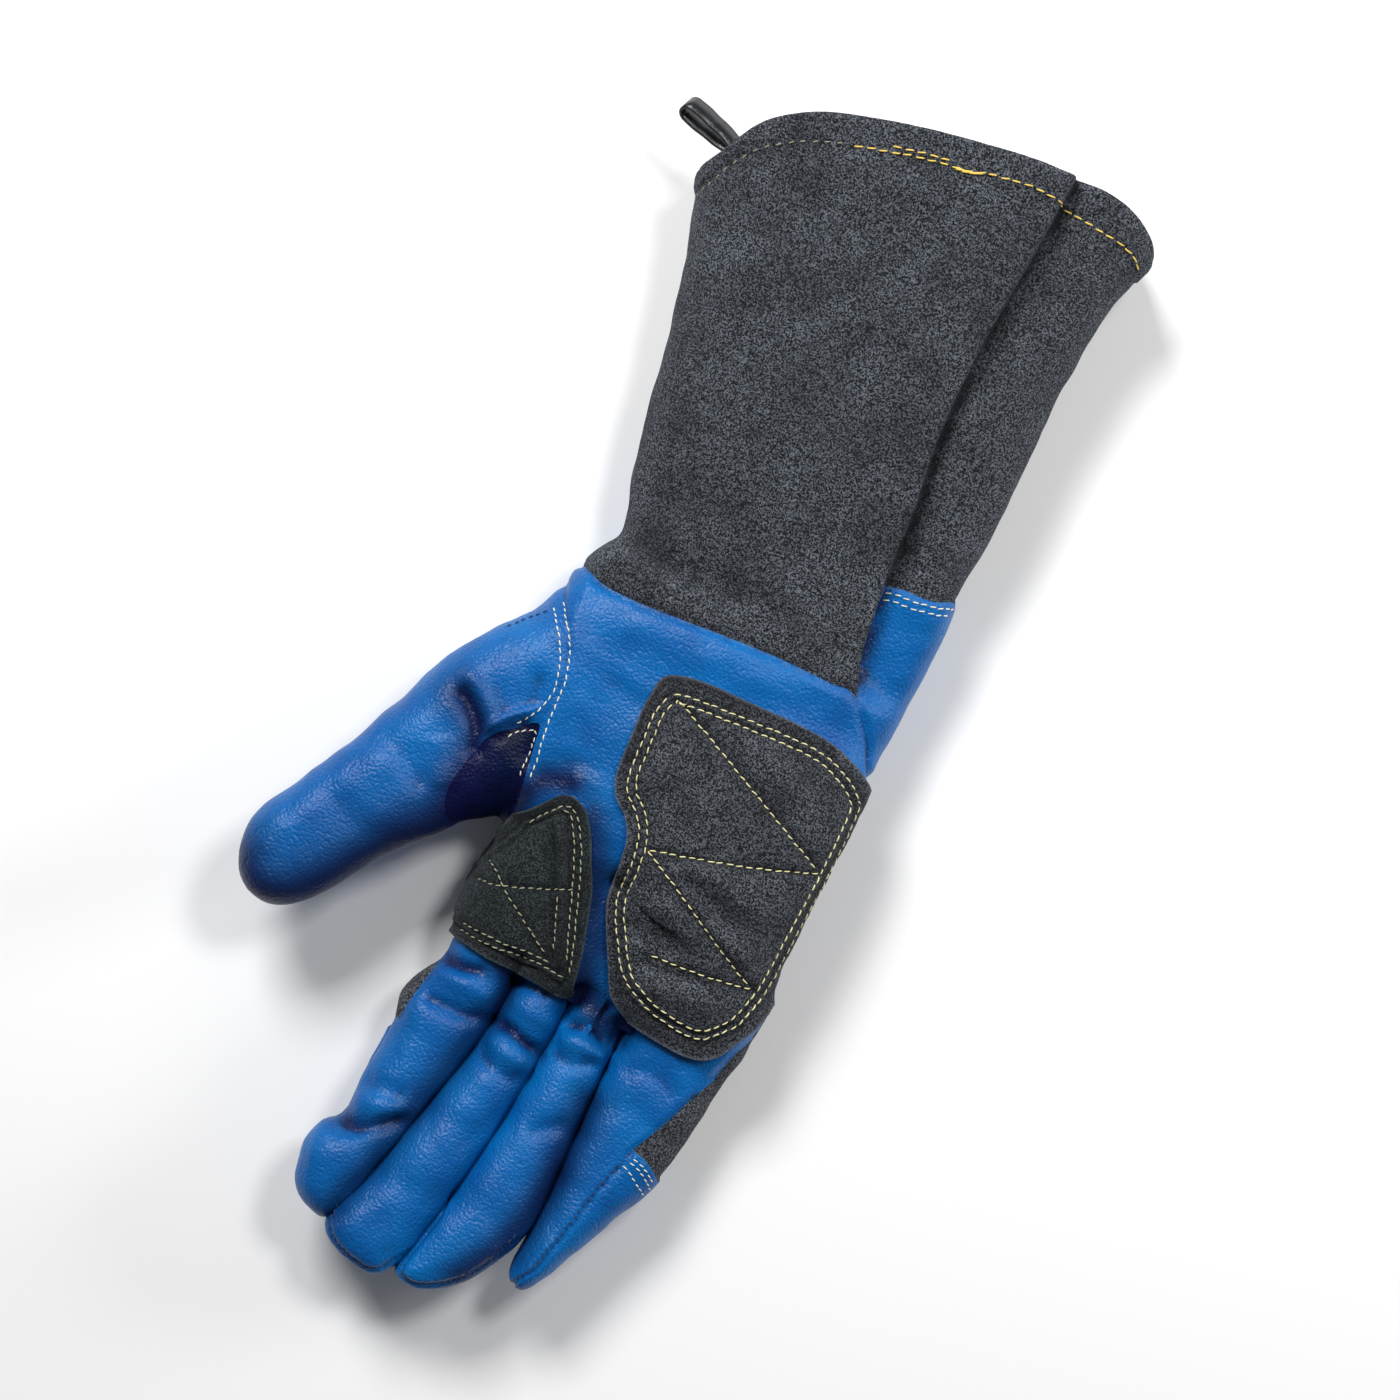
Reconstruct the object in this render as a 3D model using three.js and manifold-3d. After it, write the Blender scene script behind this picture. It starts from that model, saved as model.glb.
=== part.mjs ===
// A right-hand welding gauntlet lying on its back, palm up. Millimetres, +Z up.
// +Y runs from the fingertips to the cuff opening and +X towards the little finger.
// The wrist seam is near y = 0.
// Every panel is its own closed solid: a stretch of a hollow form, cut out along the seams.
import * as THREE from "three";
import { mergeVertices } from "three/addons/utils/BufferGeometryUtils.js";
import Module from "manifold-3d";

const wasm = await Module();
wasm.setup();

// ---------- driving dimensions ----------
const LEATHER = 1.8; // thickness of the grain leather and the suede
const LINING = 1.6; // thickness of the fleece and cotton lining
const SEAM = 0.3; // gap kept between neighbouring pieces
const KNUCKLE_Y = -138; // line where the fingers leave the palm, and where they bend
const WRIST_Y = 2; // palm-side seam between the hand and the gauntlet
const BAND_LOW_Y = -18; // lower edge of the wrist band on the back of the hand
const BAND_TOP_Y = 50; // upper, folded edge of the wrist band
const CAP_Y = -178; // line where the fingertip caps lap over the backs of the fingers
const SIDEWALL = 9; // height of the strips between the fingers
const PAD_FOAM = 3; // foam under the palm pad
const PATCH_FOAM = 2; // foam under the crotch patch
const CUFF_TOP = 209; // highest point of the gauntlet's hem
const ORIGIN_BELOW_WRIST = 60; // distance from the wrist's y = 0 down to the frame's origin
const FAR = 400; // larger than the glove, for cutting boxes

// ---------- small tools ----------
// A smooth curve value(position) through a few hand-set [position, value] pairs,
// in rising order of position.
function profile(pairs) {
  const slope = pairs.map(([x, v], i) => {
    const before = pairs[Math.max(i - 1, 0)];
    const after = pairs[Math.min(i + 1, pairs.length - 1)];
    return (after[1] - before[1]) / (after[0] - before[0]);
  });
  return (at) => {
    const x = Math.min(Math.max(at, pairs[0][0]), pairs[pairs.length - 1][0]);
    let i = 0;
    while (i < pairs.length - 2 && x > pairs[i + 1][0]) i++;
    const [x0, v0] = pairs[i];
    const [x1, v1] = pairs[i + 1];
    const step = x1 - x0;
    const u = (x - x0) / step;
    return (
      v0 * (1 + 2 * u) * (1 - u) ** 2 +
      slope[i] * step * u * (1 - u) ** 2 +
      v1 * u * u * (3 - 2 * u) +
      slope[i + 1] * step * u * u * (u - 1)
    );
  };
}

// A closed three.js geometry as a solid that can be joined and cut.
function solid(geometry) {
  geometry.deleteAttribute("normal");
  geometry.deleteAttribute("uv");
  const merged = mergeVertices(geometry, 1e-4);
  return new wasm.Manifold(
    new wasm.Mesh({
      numProp: 3,
      vertProperties: new Float32Array(merged.attributes.position.array),
      triVerts: new Uint32Array(merged.index.array),
    }),
  );
}

// Moves every vertex of a geometry to place(x, y, z), which returns a Vector3.
function warp(geometry, place) {
  const position = geometry.attributes.position;
  for (let i = 0; i < position.count; i++) {
    const p = place(position.getX(i), position.getY(i), position.getZ(i));
    position.setXYZ(i, p.x, p.y, p.z);
  }
  return geometry;
}

// A block between two corners.
function block(x0, x1, y0, y1, z0, z1) {
  const box = new THREE.BoxGeometry(x1 - x0, y1 - y0, z1 - z0);
  box.translate((x0 + x1) / 2, (y0 + y1) / 2, (z0 + z1) / 2);
  return solid(box);
}

// A block whose floor follows floor(y), for splitting a form into its upper and lower half.
function blockAbove(floor, y0, y1) {
  const steps = Math.ceil((y1 - y0) / 30);
  const box = new THREE.BoxGeometry(1, 1, 1, 1, steps, 1);
  return solid(
    warp(box, (x, y, z) => {
      const along = y0 + (y + 0.5) * (y1 - y0);
      return new THREE.Vector3(x * FAR * 2, along, z < 0 ? floor(along) : FAR);
    }),
  );
}

// An upright prism on a smooth closed outline, from z0 to z1. grow pushes the outline outwards.
function prism(points, z0, z1, grow = 0, samples = 20) {
  const ring = new THREE.CatmullRomCurve3(
    points.map(([x, y]) => new THREE.Vector3(x, y, 0)),
    true,
    "centripetal",
  ).getSpacedPoints(samples);
  ring.pop();
  const outward = THREE.ShapeUtils.isClockWise(ring) ? -grow : grow;
  const outline = ring.map((p, i) => {
    const before = ring[(i + ring.length - 1) % ring.length];
    const after = ring[(i + 1) % ring.length];
    const along = new THREE.Vector2(after.x - before.x, after.y - before.y).normalize();
    return new THREE.Vector2(p.x + along.y * outward, p.y - along.x * outward);
  });
  const shape = new THREE.Shape(outline);
  const body = new THREE.ExtrudeGeometry(shape, { depth: z1 - z0, bevelEnabled: false });
  body.translate(0, 0, z0);
  return solid(body);
}

// A prism with straight edges.
function wedge(points, z0, z1) {
  const shape = new THREE.Shape(points.map(([x, y]) => new THREE.Vector2(x, y)));
  const body = new THREE.ExtrudeGeometry(shape, { depth: z1 - z0, bevelEnabled: false });
  body.translate(0, 0, z0);
  return solid(body);
}

// A rounded form swept along its sections. section(t, offset) gives the middle, the half-width vector,
// the half-height and how far the section has closed towards the tip. offset grows (+) or
// shrinks (-) the form, and nothing reaches below the bench, where the leather lies flat.
function formSolid(form, offset) {
  const tube = new THREE.CylinderGeometry(1, 1, 1, form.radial, form.rings);
  return solid(
    warp(tube, (x, y, z) => {
      const { middle, half, height, closed } = form.section(0.5 - y, offset);
      const power = 2 / form.squareness;
      const across = Math.sign(x) * Math.abs(x) ** power * closed;
      const up = Math.sign(z) * Math.abs(z) ** power * closed;
      const p = middle.clone().addScaledVector(half, across);
      p.z = Math.max(p.z + up * height, -offset);
      return p;
    }),
  );
}

// The hollow skin of a form between two depths, such as the leather or the lining.
function skin(form, outer, inner) {
  return formSolid(form, outer).subtract(formSolid(form, inner));
}

// ---------- the forms ----------
// Hand and gauntlet in one form from the knuckles to the cuff: its edges, top and bottom by y.
const sleeve = {
  left: profile([
    [-150, -47], [-95, -47], [-70, -55], [-40, -67], [-12, -70], [2, -67], [19, -61],
    [45, -69], [75, -76], [110, -84], [150, -98], [215, -112],
  ]),
  right: profile([
    [-150, 66], [-125, 65.5], [-105, 62], [-30, 61], [0, 60],
    [50, 58.5], [140, 56], [175, 57], [197, 62], [215, 64],
  ]),
  top: profile([[-150, 32], [-110, 40], [-60, 46], [0, 44], [30, 45], [110, 54], [215, 62]]),
};
const sleeveForm = {
  squareness: 2.7,
  radial: 20,
  rings: 11,
  section(t, offset) {
    const y = 215 - t * 365;
    const left = sleeve.left(y);
    const right = sleeve.right(y);
    const high = sleeve.top(y);
    return {
      middle: new THREE.Vector3((left + right) / 2, y, high / 2 - 0.8),
      half: new THREE.Vector3((right - left) / 2 + offset, 0, 0),
      height: high / 2 + 0.8 + offset,
      closed: 1,
    };
  },
};
const sleeveMiddle = (y) => sleeve.top(y) * 0.5;

// A finger: its left and right edge, its middle height and half thickness by y, and its rounded tip.
function fingerForm(finger) {
  const start = KNUCKLE_Y + 10;
  return {
    squareness: 2.3,
    radial: 10,
    rings: 8,
    section(t, offset) {
      const tip = finger.tip - offset;
      const bend = 0.62; // the rounded end takes the rings past this share of the length
      const past = (t - bend) / (1 - bend);
      const run = t < bend ? (t / bend) * 0.8 : 0.8 + 0.2 * Math.sin((past * Math.PI) / 2);
      const y = start + (tip - start) * run;
      const roundLength = 0.15 * (start - tip);
      const into = Math.max(0, (tip + roundLength - y) / roundLength);
      const left = finger.left(y);
      const right = finger.right(y);
      return {
        middle: new THREE.Vector3((left + right) / 2, y, finger.middle(y)),
        half: new THREE.Vector3((right - left) / 2 + offset, 0, 0),
        height: finger.thick(y) + offset,
        closed: Math.sqrt(Math.max(0, 1 - into * into)),
      };
    },
  };
}

// Edge profiles rise in y, from the tip to the knuckle line.
const FINGERS = {
  index: {
    tip: -248,
    left: profile([[-248, -58], [-222, -57], [-195, -51], [-165, -48.5], [-138, -47], [-128, -47]]),
    right: profile([[-248, -38], [-225, -32.5], [-195, -25.5], [-165, -20.5], [-138, -19], [-128, -19]]),
    middle: profile([[-248, 31], [-205, 24], [-165, 18.5], [-128, 17]]),
    thick: profile([[-248, 12.5], [-205, 13.5], [-165, 14.5], [-128, 15.5]]),
    sidewalls: { index_sidewall: 1 },
  },
  middle: {
    tip: -258,
    left: profile([[-258, -37], [-225, -31.3], [-195, -24.3], [-165, -19.3], [-138, -17.8], [-128, -17.8]]),
    right: profile([[-258, -13], [-225, -7], [-195, -2], [-165, 1.4], [-138, 2.4], [-128, 2.4]]),
    middle: profile([[-258, 32], [-205, 24], [-165, 18.5], [-128, 17]]),
    thick: profile([[-258, 13], [-205, 14], [-165, 15], [-128, 15.8]]),
    sidewalls: { middle_sidewall_index_side: -1, middle_sidewall_ring_side: 1 },
  },
  ring: {
    tip: -255,
    left: profile([[-255, -11], [-225, -5.8], [-195, -0.8], [-165, 2.6], [-138, 3.6], [-128, 3.6]]),
    right: profile([[-255, 17], [-225, 26], [-195, 26.5], [-165, 24.8], [-138, 24.4], [-128, 24.4]]),
    middle: profile([[-255, 31], [-205, 23], [-165, 18], [-128, 17]]),
    thick: profile([[-255, 12.5], [-205, 13.5], [-165, 14.5], [-128, 15.5]]),
    sidewalls: { ring_sidewall_middle_side: -1, ring_sidewall_little_side: 1 },
  },
  little: {
    tip: -239,
    left: profile([[-239, 28.6], [-215, 28], [-195, 27.7], [-165, 26], [-138, 25.6], [-128, 25.6]]),
    right: profile([[-239, 38], [-215, 48], [-195, 56], [-165, 62.5], [-138, 65.5], [-128, 65.5]]),
    middle: profile([[-239, 27], [-205, 21], [-165, 17], [-128, 16.5]]),
    thick: profile([[-239, 9], [-205, 12], [-165, 14], [-128, 15]]),
    sidewalls: { little_sidewall: -1 },
  },
};

// The thumb is swept between two rails, its outer edge and its crotch edge, from the palm to the tip.
const THUMB_OUTER = new THREE.CatmullRomCurve3(
  [
    [-66, 2], [-71, -14], [-86, -36], [-98, -58], [-110, -88],
    [-121, -112], [-128, -130], [-127, -147], [-117, -154],
  ].map(
    ([x, y]) => new THREE.Vector3(x, y, 0),
  ),
);
const THUMB_CROTCH = new THREE.CatmullRomCurve3(
  [
    [-36, -80], [-47, -84], [-54, -90], [-61, -97], [-70, -109],
    [-80, -121], [-89, -135], [-97, -147], [-107, -155],
  ].map(
    ([x, y]) => new THREE.Vector3(x, y, 0),
  ),
);
const THUMB_RISE = profile([[0, 22], [0.3, 25], [0.7, 34], [1, 40]]);
const THUMB_THICK = profile([[0, 19], [0.3, 18], [0.7, 16], [1, 13]]);
const thumbForm = {
  squareness: 2.2,
  radial: 12,
  rings: 8,
  section(t, offset) {
    const outer = THUMB_OUTER.getPoint(t);
    const crotch = THUMB_CROTCH.getPoint(t);
    const half = crotch.clone().sub(outer).multiplyScalar(0.5);
    const middle = outer.clone().add(crotch).multiplyScalar(0.5);
    const end = THUMB_OUTER.getTangent(1).add(THUMB_CROTCH.getTangent(1)).normalize();
    middle.addScaledVector(end, offset * t);
    middle.z = THUMB_RISE(t);
    half.setLength(half.length() + offset);
    const into = Math.max(0, (t - 0.8) / 0.2);
    const closed = Math.sqrt(Math.max(0, 1 - 0.8 * into * into));
    return { middle, half, height: THUMB_THICK(t) + offset, closed };
  },
};

// The upright cut of the thumb seam: from the heel of the hand to the crotch,
// then down beside the index finger.
const THUMB_SEAM = { top: [-72, -5], crotch: [-47.6, -84], low: [-48.6, -150] };

// Everything on the thumb's side of that cut, shifted by a distance towards the thumb.
function thumbSide(shift) {
  const { top, crotch, low } = THUMB_SEAM;
  const rise = 60; // the cut runs on past the heel, along the gauntlet
  const end = [top[0] + ((top[0] - crotch[0]) / (top[1] - crotch[1])) * rise, top[1] + rise];
  const corners = [end, [-FAR, end[1]], [-FAR, low[1]], low, crotch, top];
  return wedge(corners.map(([x, y]) => [Math.max(x - shift, -FAR), y]), -FAR, FAR);
}

// ---------- materials ----------
const paint = (color, roughness) => new THREE.MeshStandardMaterial({ color, roughness, metalness: 0 });
const BLUE = paint(0x0b5ca8, 0.45); // grain leather
const SUEDE = paint(0x3c3f42, 0.95); // charcoal split leather
const TRIM = paint(0x16181b, 0.5); // glossy strip of the hang loop
const FLEECE = paint(0xb9b2a2, 1.0); // hand lining
const COTTON = paint(0x8d8f92, 1.0); // gauntlet lining
const FOAM = paint(0xd8d4c4, 1.0);

const glove = new THREE.Group();

// Adds one solid to a body's group as a named mesh.
function add(group, name, material, piece) {
  const mesh = piece.getMesh();
  const count = mesh.numProp;
  const points = new Float32Array(mesh.numVert * 3);
  for (let i = 0; i < mesh.numVert; i++) {
    points.set(mesh.vertProperties.subarray(i * count, i * count + 3), i * 3);
  }
  const geometry = new THREE.BufferGeometry();
  geometry.setAttribute("position", new THREE.BufferAttribute(points, 3));
  geometry.setIndex(new THREE.BufferAttribute(new Uint32Array(mesh.triVerts), 1));
  geometry.computeVertexNormals();
  const part = new THREE.Mesh(geometry, material);
  part.name = name;
  group.add(part);
}

// The largest of a solid's separate bodies, so that no crumb is left where two cuts meet.
function main(piece) {
  return piece.decompose().sort((a, b) => b.volume() - a.volume())[0];
}

// ---------- hand ----------
const LINING_OUT = -(LEATHER + SEAM);
const LINING_IN = -(LEATHER + SEAM + LINING);
const PAD_OUTLINE = [
  [-22.5, -20], [-14, -14.5], [10, -12], [38, -12], [54, -15.5],
  [61, -24], [62.5, -50], [62, -90], [62.5, -104],
  [58, -126], [50, -133.5], [36, -134.5], [18, -130], [7, -118],
  [-3, -101], [-5, -82], [-11, -69], [-18, -62],
  [-22, -46], [-23.5, -30],
];
const PAD_FOAM_OUTLINE = [
  [-15, -25], [0, -20], [36, -20], [52, -25], [56, -40],
  [55, -90], [54, -112], [46, -125], [28, -126], [14, -116],
  [5, -100], [3, -82], [-4, -68], [-12, -54], [-15, -38],
];
const PATCH_OUTLINE = [
  [-34, -72], [-27, -73], [-18, -84], [-9, -106], [-2, -126], [-1, -136], [-14, -135.6], [-40, -135.6],
  [-62, -135.6], [-62, -115], [-62, -92], [-47, -84],
];
const PATCH_FOAM_OUTLINE = [
  [-30, -80], [-22, -90], [-13, -110], [-9, -128],
  [-24, -129], [-40, -129], [-42, -110], [-38, -90],
];

function handPieces(group) {
  const handOnly = block(-FAR, FAR, KNUCKLE_Y, WRIST_Y - SEAM, -1, FAR);
  const palmHalf = blockAbove((y) => sleeveMiddle(y) + SEAM / 2, KNUCKLE_Y - 5, WRIST_Y + 5);
  const backHalf = block(-FAR, FAR, KNUCKLE_Y, BAND_LOW_Y - SEAM, -1, FAR).subtract(
    blockAbove((y) => sleeveMiddle(y) - SEAM / 2, KNUCKLE_Y - 5, WRIST_Y + 5),
  );
  const leather = skin(sleeveForm, 0, -LEATHER).subtract(thumbSide(-SEAM));
  add(group, "palm_panel", BLUE, main(leather.intersect(handOnly).intersect(palmHalf)));
  add(group, "back_panel", SUEDE, main(leather.intersect(backHalf)));

  // The lining stops short of the wrist and of the knuckle line, where the other linings start.
  const fleece = skin(sleeveForm, LINING_OUT, LINING_IN).subtract(thumbSide(-SEAM));
  const fleeceHigh = blockAbove(sleeveMiddle, KNUCKLE_Y, WRIST_Y - SEAM);
  const fleeceLow = block(-FAR, FAR, KNUCKLE_Y, BAND_LOW_Y - SEAM, -1, FAR);
  const fleeceRoom = fleeceHigh.add(fleeceLow).intersect(handOnly);
  add(group, "hand_lining", FLEECE, main(fleece.intersect(fleeceRoom)));
}

// A padded patch: foam in a pocket under a suede cover that is sewn down round its edge.
function patch(group, name, outline, foamOutline, foamThick, lowest) {
  const low = block(-FAR, FAR, KNUCKLE_Y, 0, lowest, FAR).subtract(thumbSide(-SEAM));
  const over = (outer, inner) => skin(sleeveForm, outer, inner).intersect(low);
  const pocket = prism(foamOutline, 0, FAR, SEAM).intersect(formSolid(sleeveForm, foamThick + 2 * SEAM));
  const flat = over(SEAM + LEATHER, SEAM).intersect(prism(outline, 0, FAR, 0, 28));
  const raised = over(foamThick + 2 * SEAM + LEATHER, SEAM).intersect(prism(foamOutline, 0, FAR, 3.5));
  add(group, name + "_cover", SUEDE, main(flat.add(raised).subtract(pocket)));
  const foam = over(foamThick + SEAM, SEAM).intersect(prism(foamOutline, 0, FAR));
  add(group, name + "_foam", FOAM, main(foam));
}

// ---------- fingers ----------
function fingerPieces(group, name, finger) {
  const form = fingerForm(finger);
  const fingerOnly = block(-FAR, FAR, -FAR, KNUCKLE_Y - SEAM, -1, FAR);
  const leather = skin(form, 0, -LEATHER).intersect(fingerOnly);
  const above = (shift) => blockAbove((y) => finger.middle(y) + shift, finger.tip - 5, KNUCKLE_Y + 5);

  // The strips between the fingers stop short of the rounded tip.
  const stripEnd = finger.tip + 24;
  let front = leather.intersect(above(SEAM / 2));
  let back = leather.subtract(above(-SEAM / 2));
  for (const [stripName, side] of Object.entries(finger.sidewalls)) {
    const centre = (y) => (finger.left(y) + finger.right(y)) / 2;
    const inward = profile([finger.tip, -200, -165, KNUCKLE_Y].map((y) => [y, centre(y)]));
    const half = new THREE.BoxGeometry(1, 1, 1, 1, 4, 1);
    const sideOnly = (end) =>
      solid(
        warp(half.clone(), (x, y, z) => {
          const along = end + (y + 0.5) * (KNUCKLE_Y + 5 - end);
          const near = inward(along) + side * 4;
          return new THREE.Vector3(x * side > 0 ? near + side * FAR : near, along, z * FAR * 2);
        }),
      );
    const band = (shift) => above(-SIDEWALL / 2 - shift).subtract(above(SIDEWALL / 2 + shift));
    const slot = band(SEAM / 2).intersect(sideOnly(stripEnd - SEAM));
    front = front.subtract(slot);
    back = back.subtract(slot);
    add(group, stripName, BLUE, main(leather.intersect(band(-SEAM / 2)).intersect(sideOnly(stripEnd))));
  }
  add(group, name + "_front", BLUE, main(front));
  add(group, name + "_back", SUEDE, main(back.intersect(block(-FAR, FAR, CAP_Y + SEAM, FAR, -1, FAR))));
  add(group, name + "_tip_cap", BLUE, main(back.intersect(block(-FAR, FAR, -FAR, CAP_Y, -1, FAR))));
  const fleece = skin(form, LINING_OUT, LINING_IN).intersect(fingerOnly);
  add(group, name + "_lining", FLEECE, main(fleece));
}

// ---------- thumb ----------
function thumbPieces(group) {
  const thumbOnly = thumbSide(0);
  const leather = skin(thumbForm, 0, -LEATHER).intersect(thumbOnly);
  const middle = (x, y) => 24 + Math.max(0, (-x - y - 130) * 0.115); // height of the side seam
  const split = (shift) => {
    const box = new THREE.BoxGeometry(1, 1, 1, 4, 5, 1);
    return solid(
      warp(box, (x, y, z) => {
        const across = -85 + x * 110;
        const along = -80 + y * 180;
        return new THREE.Vector3(across, along, z < 0 ? middle(across, along) + shift : FAR);
      }),
    );
  };
  // The gusset fills the crotch side of the thumb next to the palm.
  const gusset = (grow) => {
    const [left, top] = [-66 - grow, -64 + grow];
    return wedge([[left, top], [left, -130], [-30, -130], [-30, top]], -FAR, FAR);
  };
  add(group, "thumb_front", BLUE, main(leather.intersect(split(SEAM / 2)).subtract(gusset(SEAM))));
  add(group, "thumb_back", BLUE, main(leather.subtract(split(-SEAM / 2)).subtract(gusset(SEAM))));
  add(group, "thumb_gusset", BLUE, main(leather.intersect(gusset(0))));
  add(group, "thumb_lining", FLEECE, main(skin(thumbForm, LINING_OUT, LINING_IN).intersect(thumbOnly)));
}

// ---------- gauntlet ----------
// The hem falls away towards the thumb side.
const HEM = profile([
  [-125, 110], [-98, 149], [-90, 166], [-66, 189], [-30, 200],
  [20, CUFF_TOP], [52, 204.5], [64, 194], [75, 180],
]);
// The seam between the front and the back of the gauntlet, on the palm side.
const CUFF_SEAM = profile([[-10, 44], [5, 41], [45, 32], [85, 26], [130, 22.5], [220, 24]]);

function gauntletPieces(group) {
  const hemPoints = [];
  for (let x = -125; x <= 75; x += 12.5) hemPoints.push([x, HEM(x)]);
  const under = (drop) => {
    const edge = hemPoints.map(([x, y]) => [x, y - drop]).reverse();
    return wedge([[-125, BAND_LOW_Y], [75, BAND_LOW_Y], ...edge], -1, FAR);
  };
  const palmSide = block(-FAR, FAR, WRIST_Y, FAR, -1, FAR);
  const above = (shift) => blockAbove((y) => sleeveMiddle(y) + shift, BAND_LOW_Y - 5, 215);
  const leftOfSeam = (shift) => {
    const box = new THREE.BoxGeometry(1, 1, 1, 1, 10, 1);
    return solid(
      warp(box, (x, y, z) => {
        const along = -25 + (y + 0.5) * 240;
        return new THREE.Vector3(x < 0 ? -FAR : CUFF_SEAM(along) + shift, along, z * FAR * 2);
      }),
    );
  };
  // The gauntlet starts at the wrist seam on the palm side and at the band's lower edge on the back.
  const backSide = block(-FAR, FAR, BAND_LOW_Y, WRIST_Y + 1, -1, FAR).subtract(above(-SEAM / 2));
  const sleeveOnly = palmSide.add(backSide).subtract(thumbSide(-SEAM));
  const leather = skin(sleeveForm, 0, -LEATHER).intersect(under(0)).intersect(sleeveOnly);
  const front = leather.intersect(above(SEAM / 2)).intersect(leftOfSeam(-SEAM / 2));
  const rest = leather.subtract(above(-SEAM / 2).intersect(leftOfSeam(SEAM / 2)));
  add(group, "cuff_front", SUEDE, main(front));
  const aboveBand = block(-FAR, FAR, BAND_TOP_Y + SEAM, FAR, -1, FAR);
  const belowBandTop = block(-FAR, FAR, -FAR, BAND_TOP_Y, -1, FAR);
  add(group, "cuff_back", SUEDE, main(rest.intersect(aboveBand)));
  add(group, "wrist_band", BLUE, main(rest.intersect(belowBandTop)));

  const cotton = skin(sleeveForm, LINING_OUT, LINING_IN).intersect(under(6)).intersect(sleeveOnly);
  add(group, "cuff_lining_front", COTTON, main(cotton.intersect(above(SEAM / 2))));
  add(group, "cuff_lining_back", COTTON, main(cotton.subtract(above(-SEAM / 2))));
}

// ---------- hang loop ----------
const LOOP = { root: new THREE.Vector3(-92.5, 162.3, 36), reach: 21, strip: 1.6, eye: 5.2, width: 8 };

// A strip doubled back on itself, standing out from the hem's thumb-side corner.
function hangLoop(group) {
  const high = LOOP.eye / 2 + LOOP.strip;
  const bend = LOOP.reach - high;
  const shape = new THREE.Shape();
  shape.moveTo(0, -high);
  shape.lineTo(bend, -high);
  shape.absarc(bend, 0, high, -Math.PI / 2, Math.PI / 2, false);
  shape.lineTo(0, high);
  shape.lineTo(0, LOOP.eye / 2);
  shape.lineTo(bend, LOOP.eye / 2);
  shape.absarc(bend, 0, LOOP.eye / 2, Math.PI / 2, -Math.PI / 2, true);
  shape.lineTo(2, -LOOP.eye / 2);
  shape.lineTo(2, LOOP.eye / 2 - 1.4);
  shape.lineTo(0, LOOP.eye / 2 - 1.4);
  const flat = { depth: LOOP.width, bevelEnabled: false, curveSegments: 8 };
  const strip = new THREE.ExtrudeGeometry(shape, flat);
  strip.translate(0, 0, -LOOP.width / 2);
  strip.rotateX(Math.PI / 2);
  strip.rotateZ(Math.PI * 0.955);
  strip.translate(LOOP.root.x, LOOP.root.y, LOOP.root.z);
  add(group, "hang_loop", TRIM, solid(strip));
}

// ---------- assembly ----------
handPieces(glove);
patch(glove, "palm_pad", PAD_OUTLINE, PAD_FOAM_OUTLINE, PAD_FOAM, 22);
patch(glove, "crotch_patch", PATCH_OUTLINE, PATCH_FOAM_OUTLINE, PATCH_FOAM, 12);
for (const [name, finger] of Object.entries(FINGERS)) fingerPieces(glove, name, finger);
thumbPieces(glove);
gauntletPieces(glove);
hangLoop(glove);

// The frame's origin is where the back of the hand lies on the bench, 60 mm below the wrist.
glove.position.set(0, ORIGIN_BELOW_WRIST, 0);

export default glove;
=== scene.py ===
import math

import bpy
import numpy as np
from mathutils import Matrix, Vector, noise
from mathutils.bvhtree import BVHTree


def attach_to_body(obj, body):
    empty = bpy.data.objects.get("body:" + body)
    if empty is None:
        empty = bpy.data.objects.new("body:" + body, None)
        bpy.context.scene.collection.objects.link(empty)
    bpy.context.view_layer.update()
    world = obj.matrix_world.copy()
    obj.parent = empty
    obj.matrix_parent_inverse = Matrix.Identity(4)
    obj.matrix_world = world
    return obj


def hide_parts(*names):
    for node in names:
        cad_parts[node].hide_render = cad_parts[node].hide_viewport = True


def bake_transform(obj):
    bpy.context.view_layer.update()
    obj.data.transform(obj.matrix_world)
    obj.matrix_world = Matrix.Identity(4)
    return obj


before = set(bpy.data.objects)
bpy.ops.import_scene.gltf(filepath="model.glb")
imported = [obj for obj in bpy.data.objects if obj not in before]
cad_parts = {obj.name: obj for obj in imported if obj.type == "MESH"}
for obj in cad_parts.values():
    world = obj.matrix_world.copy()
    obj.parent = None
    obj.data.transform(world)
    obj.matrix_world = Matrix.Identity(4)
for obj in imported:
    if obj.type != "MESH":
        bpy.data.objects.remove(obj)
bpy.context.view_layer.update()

# The glove is drawn in millimetres with y = 0 at the wrist seam.
# The frame's origin is 60 mm further down the hand.
ORIGIN_BELOW_WRIST = 60.0
STEP = 1.5  # spacing of the grid that the leather's surface is drawn on, mm
LEATHER = 1.7  # how thick the leather is, mm
KNUCKLE_Y = -139.0  # the fingers are split off the hand here
TINY = 1e-12  # keeps divisions by a length safe
LOOSE_CRUMB = 30  # a cut piece of no more triangles than this is dropped


def metres(points):
    """Millimetre points of the drawing as metres in the frame."""
    return (np.asarray(points, float) + (0, ORIGIN_BELOW_WRIST, 0)) / 1000


def unit(v):
    return v / np.maximum(np.linalg.norm(v, axis=1, keepdims=True), TINY)


def edges_of(t):
    """The three directed edges of every triangle."""
    return np.vstack([t[:, [0, 1]], t[:, [1, 2]], t[:, [2, 0]]])


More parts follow.
